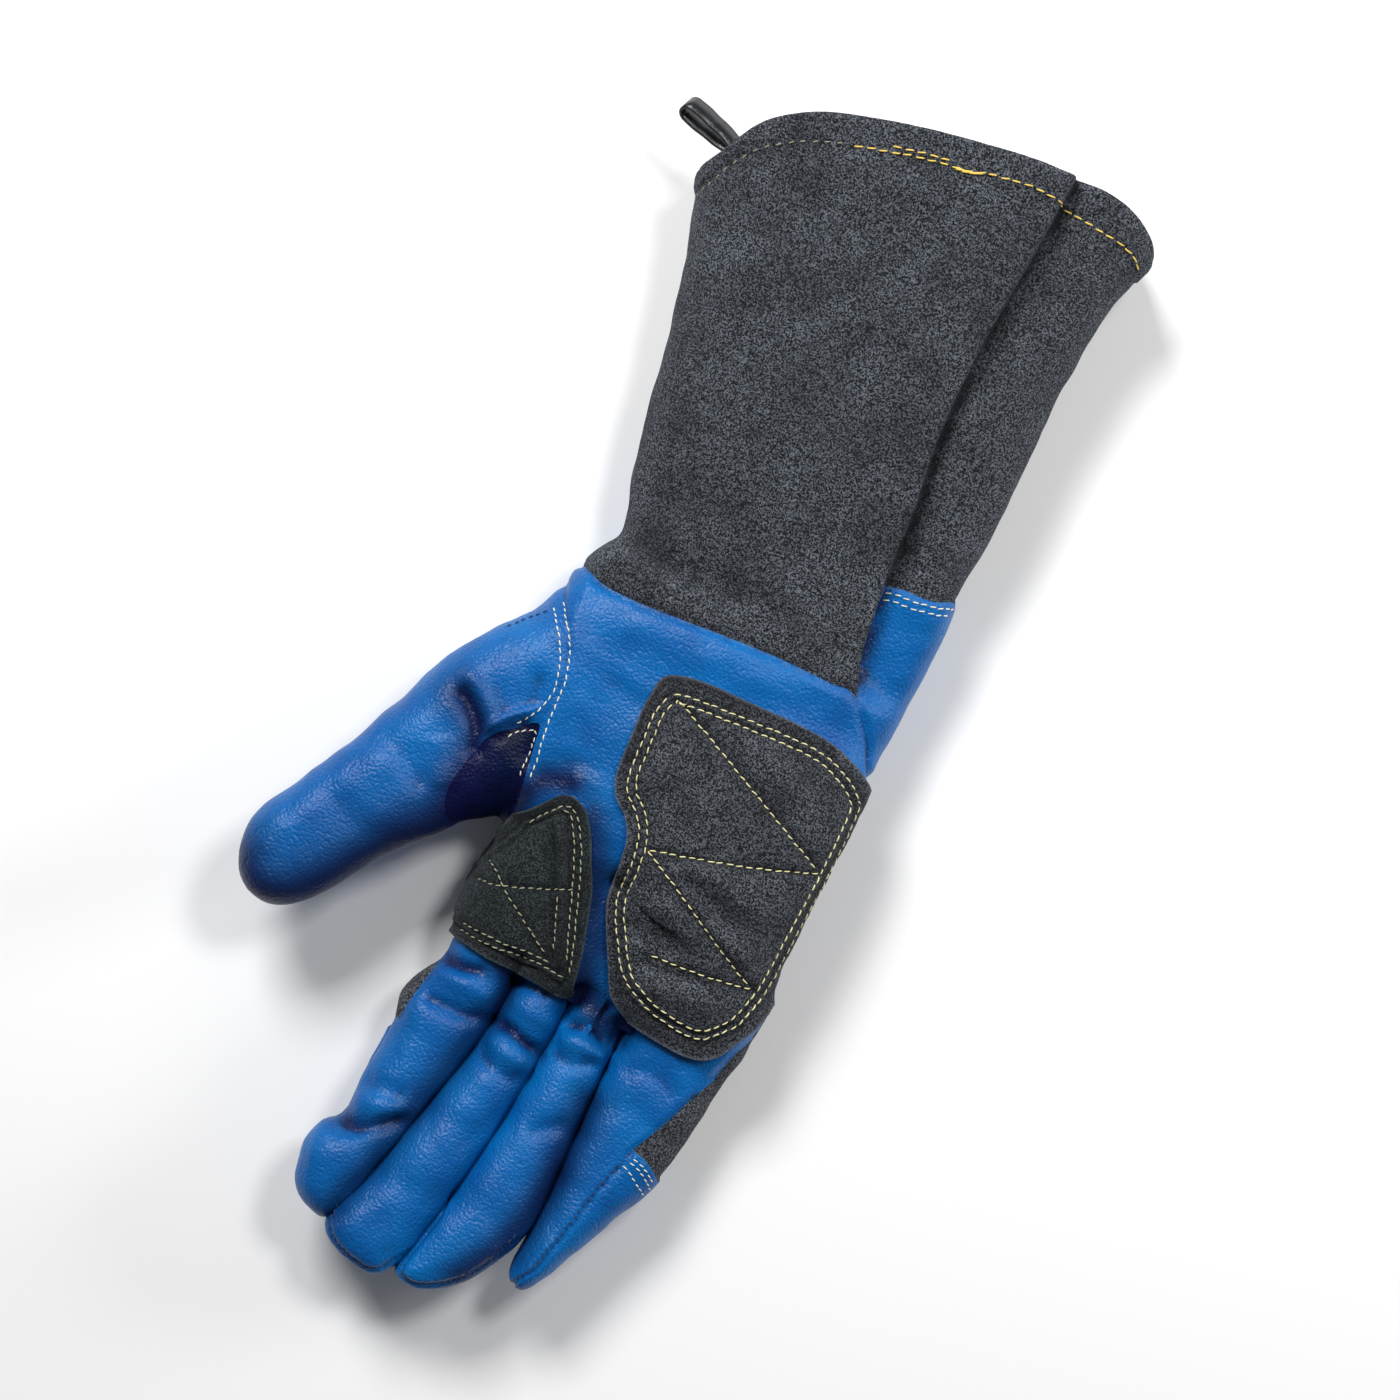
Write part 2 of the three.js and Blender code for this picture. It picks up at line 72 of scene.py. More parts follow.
# ---------- curves ----------
def profile(*pairs):
    """A smooth curve value(position) through [position, value] pairs in rising order of position."""
    x = np.array([p[0] for p in pairs], float)
    v = np.array([p[1] for p in pairs], float)
    slope = np.gradient(v, x) if len(x) > 2 else np.full(2, (v[1] - v[0]) / (x[1] - x[0]))

    def value(at):
        at = np.clip(at, x[0], x[-1])
        i = np.clip(np.searchsorted(x, at) - 1, 0, len(x) - 2)
        step = x[i + 1] - x[i]
        u = (at - x[i]) / step
        return (
            v[i] * (1 + 2 * u) * (1 - u) ** 2
            + slope[i] * step * u * (1 - u) ** 2
            + v[i + 1] * u * u * (3 - 2 * u)
            + slope[i + 1] * step * u * u * (u - 1)
        )

    return value


def curve(points, closed=False, spacing=1.5):
    """A smooth curve through the points, as evenly spaced points."""
    p = np.array(points, float)
    p = np.vstack([p[-1], p, p[0], p[1]]) if closed else np.vstack([2 * p[0] - p[1], p, 2 * p[-1] - p[-2]])
    out = []
    for i in range(1, len(p) - 2):
        u = np.linspace(0, 1, 16, endpoint=False)[:, None]
        a, b, c, d = p[i - 1 : i + 3]
        square, cube = 2 * a - 5 * b + 4 * c - d, 3 * b - a - 3 * c + d
        out.append(0.5 * (2 * b + (c - a) * u + square * u**2 + cube * u**3))
    out.append(p[-2][None])
    dense = np.vstack(out)
    length = np.concatenate([[0], np.cumsum(np.linalg.norm(np.diff(dense, axis=0), axis=1))])
    count = max(4, int(round(length[-1] / spacing)))
    at = np.linspace(0, length[-1], count + 1)
    line = np.stack([np.interp(at, length, dense[:, k]) for k in range(p.shape[1])], 1)
    return line[:-1] if closed else line


def away_from(line, x, y, closed=False):
    """Distance in plan from each (x, y) to a line, and how far along it (0 to 1) the nearest point is."""
    a = line
    b = np.roll(line, -1, 0) if closed else line[1:]
    if not closed:
        a = line[:-1]
    best = np.full(x.shape, 1e9)
    along = np.zeros(x.shape)
    for k in range(len(a)):
        d = b[k] - a[k]
        t = np.clip(((x - a[k, 0]) * d[0] + (y - a[k, 1]) * d[1]) / max(d @ d, TINY), 0, 1)
        far = np.hypot(x - a[k, 0] - t * d[0], y - a[k, 1] - t * d[1])
        nearer = far < best
        best = np.where(nearer, far, best)
        along = np.where(nearer, (k + t) / len(a), along)
    return best, along


def outline_distance(outline, x, y):
    """Distance in plan to a closed outline, negative inside."""
    far, _ = away_from(outline, x, y, closed=True)
    inside = np.zeros(x.shape, bool)
    for (x0, y0), (x1, y1) in zip(outline, np.roll(outline, -1, 0)):
        crosses = (y0 > y) != (y1 > y)
        if crosses.any():
            inside ^= crosses & (x < (x1 - x0) * (y - y0) / (y1 - y0 if y1 != y0 else 1e-9) + x0)
    return np.where(inside, -far, far)


def ease(t):
    t = np.clip(t, 0, 1)
    return t * t * (3 - 2 * t)


def near_ends(along, slope, least=0.0):
    """Fades a line out towards both its ends."""
    return ease(np.minimum(along, 1 - along) * slope + least)


def soft_min(a, b, width):
    h = np.clip(0.5 + 0.5 * (b - a) / width, 0, 1)
    return b + (a - b) * h - width * h * (1 - h)


# ---------- the leather's outer form ----------
SLEEVE_LEFT = profile(
    (-160, -47), (-97, -47), (-84, -49.5), (-70, -54), (-40, -65), (-12, -69), (0, -67), (8, -66),
    (20, -61.2), (28, -63), (38, -67), (50, -70), (75, -76), (100, -82), (122, -88), (141, -95),
    (150, -98.5), (165, -104), (215, -118),
)
SLEEVE_RIGHT = profile(
    (-160, 66), (-130, 65.8), (-110, 63.5), (-95, 62), (-60, 61), (-17, 60), (20, 60.5), (35, 60.2),
    (45, 59.2), (55, 57.6), (75, 58), (100, 57.6), (120, 56.6), (145, 55.6), (160, 56), (172, 57),
    (184, 59.5), (195, 63), (215, 66),
)
SLEEVE_TOP = profile(
    (-160, 31), (-140, 33.5), (-110, 40), (-60, 46), (0, 44), (30, 45), (110, 54), (215, 62),
)
HEM = curve([
    (-130, 118), (-112, 132), (-99, 144), (-96.5, 149), (-92.6, 155), (-89, 162), (-84.6, 169.5),
    (-77.4, 176), (-65.7, 183), (-49, 189), (-30.4, 194.5), (-10, 199.2), (8, 202.7), (20, 204),
    (33.7, 205.6), (45.6, 204.2), (55, 200.8), (61, 196.4), (66, 188), (75, 178),
])
CUFF_SEAM = profile(
    (-10, 45), (6.8, 41.5), (22, 36), (38, 33), (50, 31), (75, 28), (102, 23.5), (130, 22), (180, 23),
    (230, 23),
)

FINGERS = {
    "index": [
        (-46, -105), (-46, -137), (-46.8, -146), (-49.5, -152), (-52.4, -158.5), (-53.6, -165),
        (-52, -173), (-51.3, -182), (-51.7, -195), (-51, -208), (-52.5, -214), (-57, -218), (-59, -226),
        (-58.5, -232), (-56, -240), (-52, -245), (-45, -248), (-39, -247.5), (-34, -238), (-31.5, -225),
        (-28.5, -213), (-24.5, -192), (-20.5, -170), (-18.5, -150), (-19, -137), (-19, -105),
    ],
    "middle": [
        (-20, -105), (-20, -137), (-19.5, -150), (-21, -170), (-25.5, -192), (-29.5, -213), (-33, -228),
        (-37.5, -240), (-39, -247), (-36, -252.5), (-30, -255.5), (-20, -257.8), (-14, -257.3),
        (-9.5, -253), (-6, -244), (-4, -232), (-2, -218), (0, -200), (1.7, -180), (2.5, -160), (2.5, -140),
        (3, -105),
    ],
    "ring": [
        (2, -105), (2, -145), (1.5, -165), (0.8, -180), (-1, -200), (-4, -220), (-7.5, -238), (-9.3, -249),
        (-7.5, -254.3), (0, -255.4), (5, -253.5), (10, -250.5), (14, -247), (18, -242), (22, -235),
        (25, -228), (27.5, -219), (28, -205), (27, -185), (25.5, -165), (25, -145), (25, -105),
    ],
    "little": [
        (24, -105), (24, -140), (25.5, -165), (26.5, -185), (27.8, -205), (28.5, -218), (28, -228),
        (28.5, -234.5), (30.5, -238), (34, -239), (37, -237.3), (40, -233), (46, -220), (50, -211),
        (54, -200), (58, -190), (61, -180), (63.5, -165), (65.5, -145), (66, -125), (64, -105),
    ],
}
THUMB = [
    (-62, 2), (-71, -13), (-77, -22), (-84, -31), (-90, -40), (-95.5, -48), (-100, -60), (-103, -70),
    (-107, -80), (-110, -90), (-115, -100), (-120, -110), (-124, -119), (-127.5, -126), (-129.3, -134),
    (-128.8, -141), (-127, -147), (-123.5, -152.5), (-118, -156), (-111, -157), (-105, -155), (-100, -151),
    (-95, -146), (-90, -138), (-85, -129), (-80, -121), (-75, -115), (-69, -108), (-64, -101.5),
    (-60, -97.5), (-56, -94), (-52, -89), (-48, -84.5), (-40, -78), (-38, -50), (-44, -20),
]
FINGER_MIDDLE = profile((-260, 31.5), (-230, 28), (-205, 24), (-165, 18.8), (-139, 17), (-100, 17))
FINGER_HALF = profile((-260, 11.5), (-230, 13), (-205, 14), (-165, 15), (-139, 16), (-100, 16.5))
FINGER_THIN = {"index": 1, "middle": 1, "ring": 0.98, "little": 0.9}  # share of the common thickness
FINGER_LIFT = {"index": 0.5, "middle": 1.5, "ring": 0, "little": -2.5}  # how much higher a fingertip lies, mm

THUMB_SEAM = curve([
    (-76, 6), (-69, -10), (-64, -16.5), (-59.5, -22), (-56, -31), (-54.2, -40), (-53.5, -50), (-52.5, -60),
    (-50.5, -70), (-48.2, -82), (-47.5, -90),
])


def gridded(which, box, step):
    """The field of the named parts on a grid over the box, and the grid's axes."""
    axes = [np.arange(low, high + step, step) for low, high in (box[0:2], box[2:4], box[4:6])]
    x, y, z = (a.astype(np.float32) for a in np.meshgrid(*axes, indexing="ij"))
    return field_of(which, x, y, z), axes


def sleeve_field(x, y, z):
    left, right, high = SLEEVE_LEFT(y), SLEEVE_RIGHT(y), SLEEVE_TOP(y)
    half, height = (right - left) / 2, high / 2 + 0.8
    # under the two patches the palm's shoulders are squarer
    under_pad = ease((x - 5) / 30) * ease((y + 150) / 20) * ease((-5 - y) / 20)
    under_patch = ease((-x - 25) / 20) * ease((y + 160) / 20) * ease((-80 - y) / 25)
    n = 2.6 + 1.8 * np.maximum(under_pad, 0.6 * under_patch)
    u = np.abs(x - (left + right) / 2) / half
    v = np.abs(z - (high / 2 - 0.8)) / height
    s = (u**n + v**n + 1e-9) ** (1 / n)
    steep = np.sqrt((s ** (1 - n) * u ** (n - 1) / half) ** 2 + (s ** (1 - n) * v ** (n - 1) / height) ** 2)
    d = (s - 1) / np.maximum(steep, 1 / 90)
    end = -(y + 133)
    return -soft_min(-d, -end, 12)


def tube_field(outline, middle, half, x, y, z):
    d = outline_distance(outline, x[..., 0], y[..., 0])[..., None]
    return np.sqrt(np.maximum(d + half, 0) ** 2 + (z - middle) ** 2) - half


def finger_lift(name, y):
    return FINGER_LIFT[name] * ease((-y - 150) / 60)


def thumb_along(x, y):
    """How far a point lies from the thumb's root (0) to its tip (1)."""
    return np.clip(((x + 60) * -0.394 + (y + 12) * -0.919) / 155, 0, 1)


def flat_on_bench(f, z):
    return -soft_min(-f, z, 1.2)


def field_of(which, x, y, z):
    """The glove's outer form as a distance in mm: the hand with the named fingers and thumb joined on."""
    f = sleeve_field(x, y, z)
    for name in which:
        if name == "thumb":
            t = thumb_along(x, y)
            part = tube_field(curve(THUMB, True), 22 + 17 * t**1.15, 19.5 - 6.5 * t**1.4, x, y, z)
            f = soft_min(f, part, 12)
    fingers = [name for name in which if name in FINGERS]
    if fingers:
        joined = None
        for name in fingers:
            middle, half = FINGER_MIDDLE(y) + finger_lift(name, y), FINGER_HALF(y) * FINGER_THIN[name]
            part = tube_field(curve(FINGERS[name], True), middle, half, x, y, z)
            part = soft_min(f, part, 9)
            joined = part if joined is None else np.minimum(joined, part)
        f = joined
    return flat_on_bench(f, z)


def surface(f, axes, step):
    """The surface where a gridded field is zero, as vertices and triangles facing outwards."""
    inside = f < 0
    cells = np.array(f.shape) - 1
    total = np.zeros((*cells, 3), np.float32)
    count = np.zeros(cells, np.float32)
    for axis in range(3):
        for a in (0, 1):
            for b in (0, 1):
                start = [a, b]
                start.insert(axis, 0)
                stop = list(start)
                stop[axis] = 1
                c0 = tuple(slice(start[i], start[i] + cells[i]) for i in range(3))
                c1 = tuple(slice(stop[i], stop[i] + cells[i]) for i in range(3))
                cross = inside[c0] != inside[c1]
                t = np.where(cross, f[c0] / np.where(cross, f[c0] - f[c1], 1), 0)
                for i in range(3):
                    total[..., i] += np.where(cross, t if i == axis else start[i], 0)
                count += cross
    active = count > 0
    index = np.full(cells, -1)
    index[active] = np.arange(active.sum())
    low = np.array([axis[0] for axis in axes])
    verts = (np.argwhere(active) + total[active] / count[active][:, None]) * step + low
    quads = []
    for axis in range(3):
        o1, o2 = [i for i in range(3) if i != axis]
        here = [slice(0, cells[i]) if i == axis else slice(1, cells[i]) for i in range(3)]
        there = list(here)
        there[axis] = slice(1, cells[axis] + 1)
        cross = inside[tuple(here)] != inside[tuple(there)]
        at = np.argwhere(cross)
        at[:, o1] += 1
        at[:, o2] += 1
        back = inside[tuple(here)][cross]
        corner = []
        for d1, d2 in ((0, 0), (1, 0), (1, 1), (0, 1)):
            c = at.copy()
            c[:, o1] -= d1
            c[:, o2] -= d2
            corner.append(index[c[:, 0], c[:, 1], c[:, 2]])
        q = np.stack(corner, 1)
        if axis == 1:
            back = ~back
        q[back] = q[back][:, ::-1]
        quads.append(q[:, ::-1])
    q = np.vstack(quads)
    q = q[(q >= 0).all(1)]
    return verts, np.vstack([q[:, [0, 1, 2]], q[:, [0, 2, 3]]])


def normals_of(v, t):
    face = np.cross(v[t[:, 1]] - v[t[:, 0]], v[t[:, 2]] - v[t[:, 0]])
    n = np.zeros_like(v)
    for k in range(3):
        np.add.at(n, t[:, k], face)
    return unit(n)


def relax(v, t, rounds):
    """Evens out a surface by moving each vertex towards its neighbours and back."""
    edges = np.unique(np.sort(edges_of(t), 1), axis=0)
    degree = np.bincount(edges.ravel(), minlength=len(v))[:, None]
    for k in range(rounds * 2):
        total = np.zeros_like(v)
        np.add.at(total, edges[:, 0], v[edges[:, 1]])
        np.add.at(total, edges[:, 1], v[edges[:, 0]])
        v = v + (0.5 if k % 2 == 0 else -0.52) * (total / np.maximum(degree, 1) - v)
    return v


def cut(sheet, values):
    """A sheet (vertices, normals, triangles) cut where values are zero: the part above and the part below."""
    v, n, t = sheet
    values = np.where(np.abs(values) < 1e-3, 1e-3, values)
    up = values > 0
    edges = np.sort(edges_of(t), 1)
    edges = np.unique(edges[up[edges[:, 0]] != up[edges[:, 1]]], axis=0)
    key = edges[:, 0] * len(v) + edges[:, 1]
    share = values[edges[:, 0]] / (values[edges[:, 0]] - values[edges[:, 1]])
    new_v = v[edges[:, 0]] + share[:, None] * (v[edges[:, 1]] - v[edges[:, 0]])
    new_n = n[edges[:, 0]] + share[:, None] * (n[edges[:, 1]] - n[edges[:, 0]])
    all_v = np.vstack([v, new_v])
    all_n = np.vstack([n, unit(new_n)])

    def between(a, b):
        return len(v) + np.searchsorted(key, np.minimum(a, b) * len(v) + np.maximum(a, b))

    count = up[t].sum(1)
    result = []
    for want in (True, False):
        parts = [t[count == (3 if want else 0)]]
        mixed = t[(count == 1) | (count == 2)]
        if len(mixed):
            side = up[mixed]
            lone_up = side.sum(1) == 1
            lone = np.where(lone_up, side.argmax(1), (~side).argmax(1))
            rows = np.arange(len(mixed))
            a, b, c = (mixed[rows, (lone + k) % 3] for k in range(3))
            p, q = between(a, b), between(a, c)
            alone = lone_up == want
            parts.append(np.stack([a, p, q], 1)[alone])
            parts.append(np.stack([p, b, c], 1)[~alone])
            parts.append(np.stack([p, c, q], 1)[~alone])
        tri = np.vstack(parts)
        result.append(compact(all_v, all_n, tri))
    return result


def compact(v, n, t):
    """A sheet without the vertices that none of its triangles use."""
    used, inverse = np.unique(t.ravel(), return_inverse=True)
    return v[used], n[used], inverse.reshape(-1, 3)


def clean(sheet):
    """A sheet without the crumbs that a cut left."""
    v, n, t = sheet
    if not len(t):
        return sheet
    label = np.arange(len(v))
    while True:
        low = label[t].min(1)
        new = label.copy()
        for k in range(3):
            np.minimum.at(new, t[:, k], low)
        new = new[new]
        if (new == label).all():
            break
        label = new
    counts = np.bincount(label[t[:, 0]])
    keep = counts[label[t[:, 0]]] > LOOSE_CRUMB
    return compact(v, n, t[keep])


def finer(sheet):
    """A sheet with every triangle split in four."""
    v, n, t = sheet
    edges, inverse = np.unique(np.sort(edges_of(t), 1), axis=0, return_inverse=True)
    inverse = inverse.reshape(3, -1) + len(v)
    mid_v = (v[edges[:, 0]] + v[edges[:, 1]]) / 2
    mid_n = unit(n[edges[:, 0]] + n[edges[:, 1]])
    ab, bc, ca = inverse
    corners = ((t[:, 0], ab, ca), (ab, t[:, 1], bc), (ca, bc, t[:, 2]), (ab, bc, ca))
    tri = np.vstack([np.stack(abc, 1) for abc in corners])
    return np.vstack([v, mid_v]), np.vstack([n, mid_n]), tri


# ---------- Blender objects ----------
def make_mesh(name, v, faces, loop_normals=None):
    mesh = bpy.data.meshes.new(name)
    mesh.from_pydata(metres(v).tolist(), [], faces)
    mesh.update()
    mesh.polygons.foreach_set("use_smooth", [True] * len(mesh.polygons))
    if loop_normals is not None:
        mesh.normals_split_custom_set(loop_normals.tolist())
    obj = bpy.data.objects.new(name, mesh)
    bpy.context.scene.collection.objects.link(obj)
    return obj


def leather_piece(name, sheet, thick=LEATHER, grow=None):
    """A sheet as a panel of leather: its outside, its inside and the cut edge between them."""
    v, n, t = sheet
    inner = v - (n if grow is None else grow) * np.broadcast_to(thick, len(v))[:, None]
    all_edges = edges_of(t)
    _, first, counts = np.unique(np.sort(all_edges, 1), axis=0, return_index=True, return_counts=True)
    rim = all_edges[first[counts == 1]]
    k = len(v)
    side = np.stack([rim[:, 1], rim[:, 0], rim[:, 0] + k, rim[:, 1] + k], 1)
    points = np.vstack([v, inner])
    corner = points[side[:, 0]]
    rim_normal = unit(np.cross(points[side[:, 1]] - corner, points[side[:, 3]] - corner))
    faces = t.tolist() + (t[:, ::-1] + k).tolist() + side.tolist()
    loops = np.vstack([n[t].reshape(-1, 3), -n[t[:, ::-1]].reshape(-1, 3), np.repeat(rim_normal, 4, 0)])
    return make_mesh(name, points, faces, loops)


def join(name, parts):
    """Several (vertices, faces) as one object."""
    verts, faces, base = [], [], 0
    for v, f in parts:
        verts.append(v)
        faces += [[i + base for i in face] for face in f]
        base += len(v)
    return make_mesh(name, np.vstack(verts), faces)


# ---------- folds, seams and the lie of the leather ----------
# Each fold in the upper side: its line in plan, its height (negative is a crease) and its half-width.
FOLDS = [
    # the hollow of the palm and its soft furrows
    ([(-8, -84), (-2, -100), (4, -113), (11, -126), (19, -139), (22, -150)], -5.0, 7.0),
    ([(0, -133), (9, -136), (20, -139.5)], -3.0, 4.0),
    ([(-50, -72), (-56, -60), (-60, -48), (-62, -36)], -1.4, 4),
    ([(-34, -24), (-36, -45), (-33, -66)], -2.0, 13),
    ([(-60, -9), (-40, -8), (-15, -5), (20, -3)], 1.5, 7),
    ([(-50, -72), (-42, -69), (-34, -66)], -1.6, 5),
    ([(-8, -92), (3, -93), (14, -96), (28, -98)], -2.0, 4),
    ([(2, -79), (16, -82), (32, -84)], 1.2, 6),
    # index finger
    ([(-47, -145.8), (-41, -145.6), (-36, -144.8), (-29, -142)], -2.6, 2.4),
    ([(-48, -151), (-34, -150.5), (-22, -151)], 1.5, 3.4),
    ([(-48, -160.5), (-33.4, -160), (-26.7, -159.6), (-18.6, -157)], -2.1, 2.7),
    ([(-50, -168), (-37, -168), (-24, -167)], 0.9, 5),
    ([(-51.5, -197.5), (-43.7, -196.4), (-33, -195)], -1.3, 3.6),
    ([(-51, -204), (-40, -202.5), (-30, -199)], 1.2, 4),
    ([(-53, -213.5), (-44, -212.7), (-37, -208.4), (-29, -201)], -3.0, 3.0),
    ([(-57, -226), (-46, -224), (-34, -227)], 1.4, 7),
    # middle finger
    ([(-21, -142), (-12, -139.6), (-3, -139)], -2.6, 2.6),
    ([(-18, -147.5), (-8, -148.5), (2, -148.5)], 1.4, 3.6),
    ([(-20, -157.5), (-12, -156.9), (-5.7, -158.6), (2, -160.8)], -3.2, 2.3),
    ([(-19, -164), (-8, -165), (2, -166.5)], 1.2, 3.2),
    ([(-21, -168.5), (-10, -171.8), (1, -172)], -1.4, 3),
    ([(-26, -200), (-14, -196), (-3, -200)], -0.9, 5),
    ([(-33, -226), (-20, -222), (-5, -226)], -0.8, 6),
    # ring finger
    ([(2.5, -147), (9.4, -144), (17.4, -143.6), (25, -146.5)], -2.8, 2.4),
    ([(4, -151.5), (14, -149.5), (24, -151.5)], 1.4, 3),
    ([(3, -157), (13.5, -157.4), (23, -152.5)], -1.6, 2.8),
    ([(9, -187), (15.2, -183), (23, -177)], -1.4, 3.6),
    ([(-6, -222), (8, -218), (26, -224)], -0.9, 5),
    # little finger
    ([(28, -152), (40, -147), (54, -151)], -1.0, 3.5),
    ([(30, -166), (42, -162), (54, -167)], -0.6, 4),
    # thumb: the deep crease at its joint, the rolled lip over the gusset
    ([(-87, -55.5), (-80.3, -59), (-75.4, -63.1), (-71.5, -67.9), (-70.2, -78)], -3.8, 2.9),
    ([(-88, -50), (-79, -54.5), (-71.5, -60.5), (-68, -66)], 1.6, 3.4),
    ([(-69.5, -73), (-69.9, -67), (-68.9, -63.8), (-64.8, -57.5), (-60.4, -53.2), (-56.2, -48.2)], 2.4, 1.7),
    ([(-66, -69), (-64.5, -64), (-61, -59.5), (-57, -55)], -1.8, 2.6),
    ([(-84, -74), (-79, -82), (-74, -92)], 1.2, 4.5),
    ([(-105, -84), (-92, -87), (-78, -96)], -1.2, 4.5),
    ([(-114, -110), (-100, -113), (-84, -120)], -0.8, 5),
    ([(-76, -20), (-84, -36), (-92, -48)], 0.8, 7),
    # wrist and gauntlet
    ([(-63, 21), (-50, 19), (-30, 17), (-5, 20)], -2.6, 6),
    ([(-66, 34), (-50, 36), (-36, 42)], -1.4, 7),
    ([(-66, 9), (-50, 10), (-30, 9)], 1.4, 6),
    ([(-82, 105), (-60, 98), (-30, 92)], -1.2, 16),
    ([(-86, 160), (-50, 165), (-10, 175)], 0.9, 18),
    ([(-60, 62), (-30, 70), (10, 66)], 1.0, 14),
    ([(32, 120), (38, 90), (44, 62)], 1.5, 9),
    ([(52, 150), (50, 110), (52, 70)], -0.9, 6),
]
# Painted shade: lines along which the leather's colour is darkened where its form falls into shade (under the
# thumb, in the valleys between fingers, beside the patches, in creases): a line in plan, how much, and its
# half-width.
PAINTED_SHADE_MARKS = [
    ([(-125, -148), (-116, -153), (-104, -150), (-94, -140), (-85, -125), (-75, -111), (-64, -98)], 0.92, 15),
    ([(-84, -58), (-75, -64), (-70.5, -72), (-70, -84), (-66, -94)], 0.8, 8),
    ([(-47.5, -88), (-46.5, -78), (-42, -71), (-34, -67.5)], 0.92, 6.5),
    ([(-22, -75), (-12, -91), (-3, -110), (4, -130)], 0.8, 6),
    ([(-25, -138), (-20, -143), (-20, -152)], 0.85, 4.5),
    ([(-2, -133), (9, -136), (22, -141)], 0.9, 6.5),
    ([(-22, -160), (-28.5, -195), (-34, -225), (-38, -244)], 0.62, 6.5),
    ([(0, -158), (-1, -175)], 0.3, 3.5),
    ([(25.5, -168), (26.5, -200), (22, -224), (13, -242)], 0.8, 7.5),
    ([(28, -196), (29, -228)], 0.4, 4),
    ([(-47, -146), (-30, -143)], 0.5, 2.5),
    ([(-19, -157.3), (-6, -158.6), (2, -160.5)], 0.6, 2.2),
    ([(-53, -214), (-38, -209), (-29, -201)], 0.5, 4),
]
FOLD_LINES = [(curve(points, spacing=3), height, width) for points, height, width in FOLDS]
PAINTED_SHADE_LINES = [(curve(points, spacing=3), share, width) for points, share, width in PAINTED_SHADE_MARKS]
WRIST_LINE = profile(
    (-75, 3), (-66.5, 2.5), (-60, 0.5), (-45, 0), (-30, 1.5), (-10, 4), (10, 6), (30, 6.8), (41, 6.8),
    (48, 0), (55, -8), (60, -17), (68, -18),
)
BAND_TOP = profile((-80, 50), (20, 46), (32, 47), (38, 48.5), (50, 50), (58, 54), (62, 54.5))
BAND_LOW_Y = -18.0
PALM_EDGE = profile((-160, 62), (-139, 61.5), (-125, 64.5), (-112, 72), (0, 80))
LITTLE_SEAM = profile(
    (-240, 31), (-234, 33), (-230, 35.6), (-219, 38.2), (-208, 40.6), (-196, 42.6), (-186, 45),
    (-180.6, 46.4), (-174.6, 47.3), (-168, 50), (-158, 54), (-147, 58), (-139, 61.5), (-125, 64.5),
)
INDEX_SEAM = profile(
    (-190, -62), (-178, -56), (-173, -50.5), (-166, -49.2), (-158, -48), (-150, -46.8), (-144, -47.5),
    (-139, -56), (-120, -62),
)
THUMB_SIDE = np.vstack([THUMB_SEAM, [
    (-50, -97), (-57, -112), (-66, -140), (-75, -175), (-165, -175), (-165, 22),
]])
GUSSET = curve([
    (-69.5, -73), (-68.2, -68), (-65.5, -64), (-62, -61), (-58.5, -57.8), (-55.4, -54.6), (-53.4, -55.5),
    (-52, -62), (-50.5, -68), (-48.8, -76), (-47.5, -88), (-50, -94), (-58, -99), (-67, -100),
    (-71.5, -92), (-71, -80),
], True)
HEM_DEPTH = 11.5  # how far the hem is turned in
HEM_RAMP = 1.6  # over how far its step rises
LINING_EARLY = 4.2  # the lining steps down this far before the gauntlet's free edge, so that it stays inside


def sleeve_split(x, y):
    """Height of the line between palm side and back. Beside the gauntlet's fold edge it is out of sight."""
    return SLEEVE_TOP(y) * 0.5 - 9 * ease((-x - 20) / 30) * ease((y + 4) / 14)


def hem_distance(x, y):
    return np.interp(x, HEM[:, 0], HEM[:, 1]) - y


def seam_fields(v):
    """Signed distances, in mm, to the seams of the hand and gauntlet."""
    x, y, z = v.T
    side = z - sleeve_split(x, y)
    edge = np.minimum(side, PALM_EDGE(y) - x)
    hand = np.maximum(np.minimum(side, WRIST_LINE(x) - y), BAND_LOW_Y - y)
    front = np.minimum(side, CUFF_SEAM(y) - x)
    return {"edge": edge, "hand": hand, "front": front, "band": BAND_TOP(x) - y}


def finger_split(name, v):
    x, y, z = v.T
    side = z - FINGER_MIDDLE(y) - finger_lift(name, y)
    if name == "little":
        return np.minimum(side + 1, LITTLE_SEAM(y) - x)
    if name == "index":
        return np.minimum(side, x - INDEX_SEAM(y))
    # at the two longest fingertips the seam climbs onto the upper side
    return side - 7 * ease((-y - {"middle": 236, "ring": 214}[name]) / 14)


def cap_line(name, x):
    """Where a finger's tip cap starts on its back."""
    return -174.6 - 0.035 * (np.clip(x, 47, 64) - 47) ** 2 if name == "little" else np.full(x.shape, -178.0)


def bell(d, width):
    return np.exp(-((d / width) ** 2))


def groove(d, depth, width):
    return -depth * bell(d, width)


def close_to(line, width, v):
    """Which points lie near enough to a line in plan for a fold or stain of this half-width to reach them."""
    low, high = line.min(0) - 3 * width, line.max(0) + 3 * width
    return (v[:, 0] > low[0]) & (v[:, 0] < high[0]) & (v[:, 1] > low[1]) & (v[:, 1] < high[1])


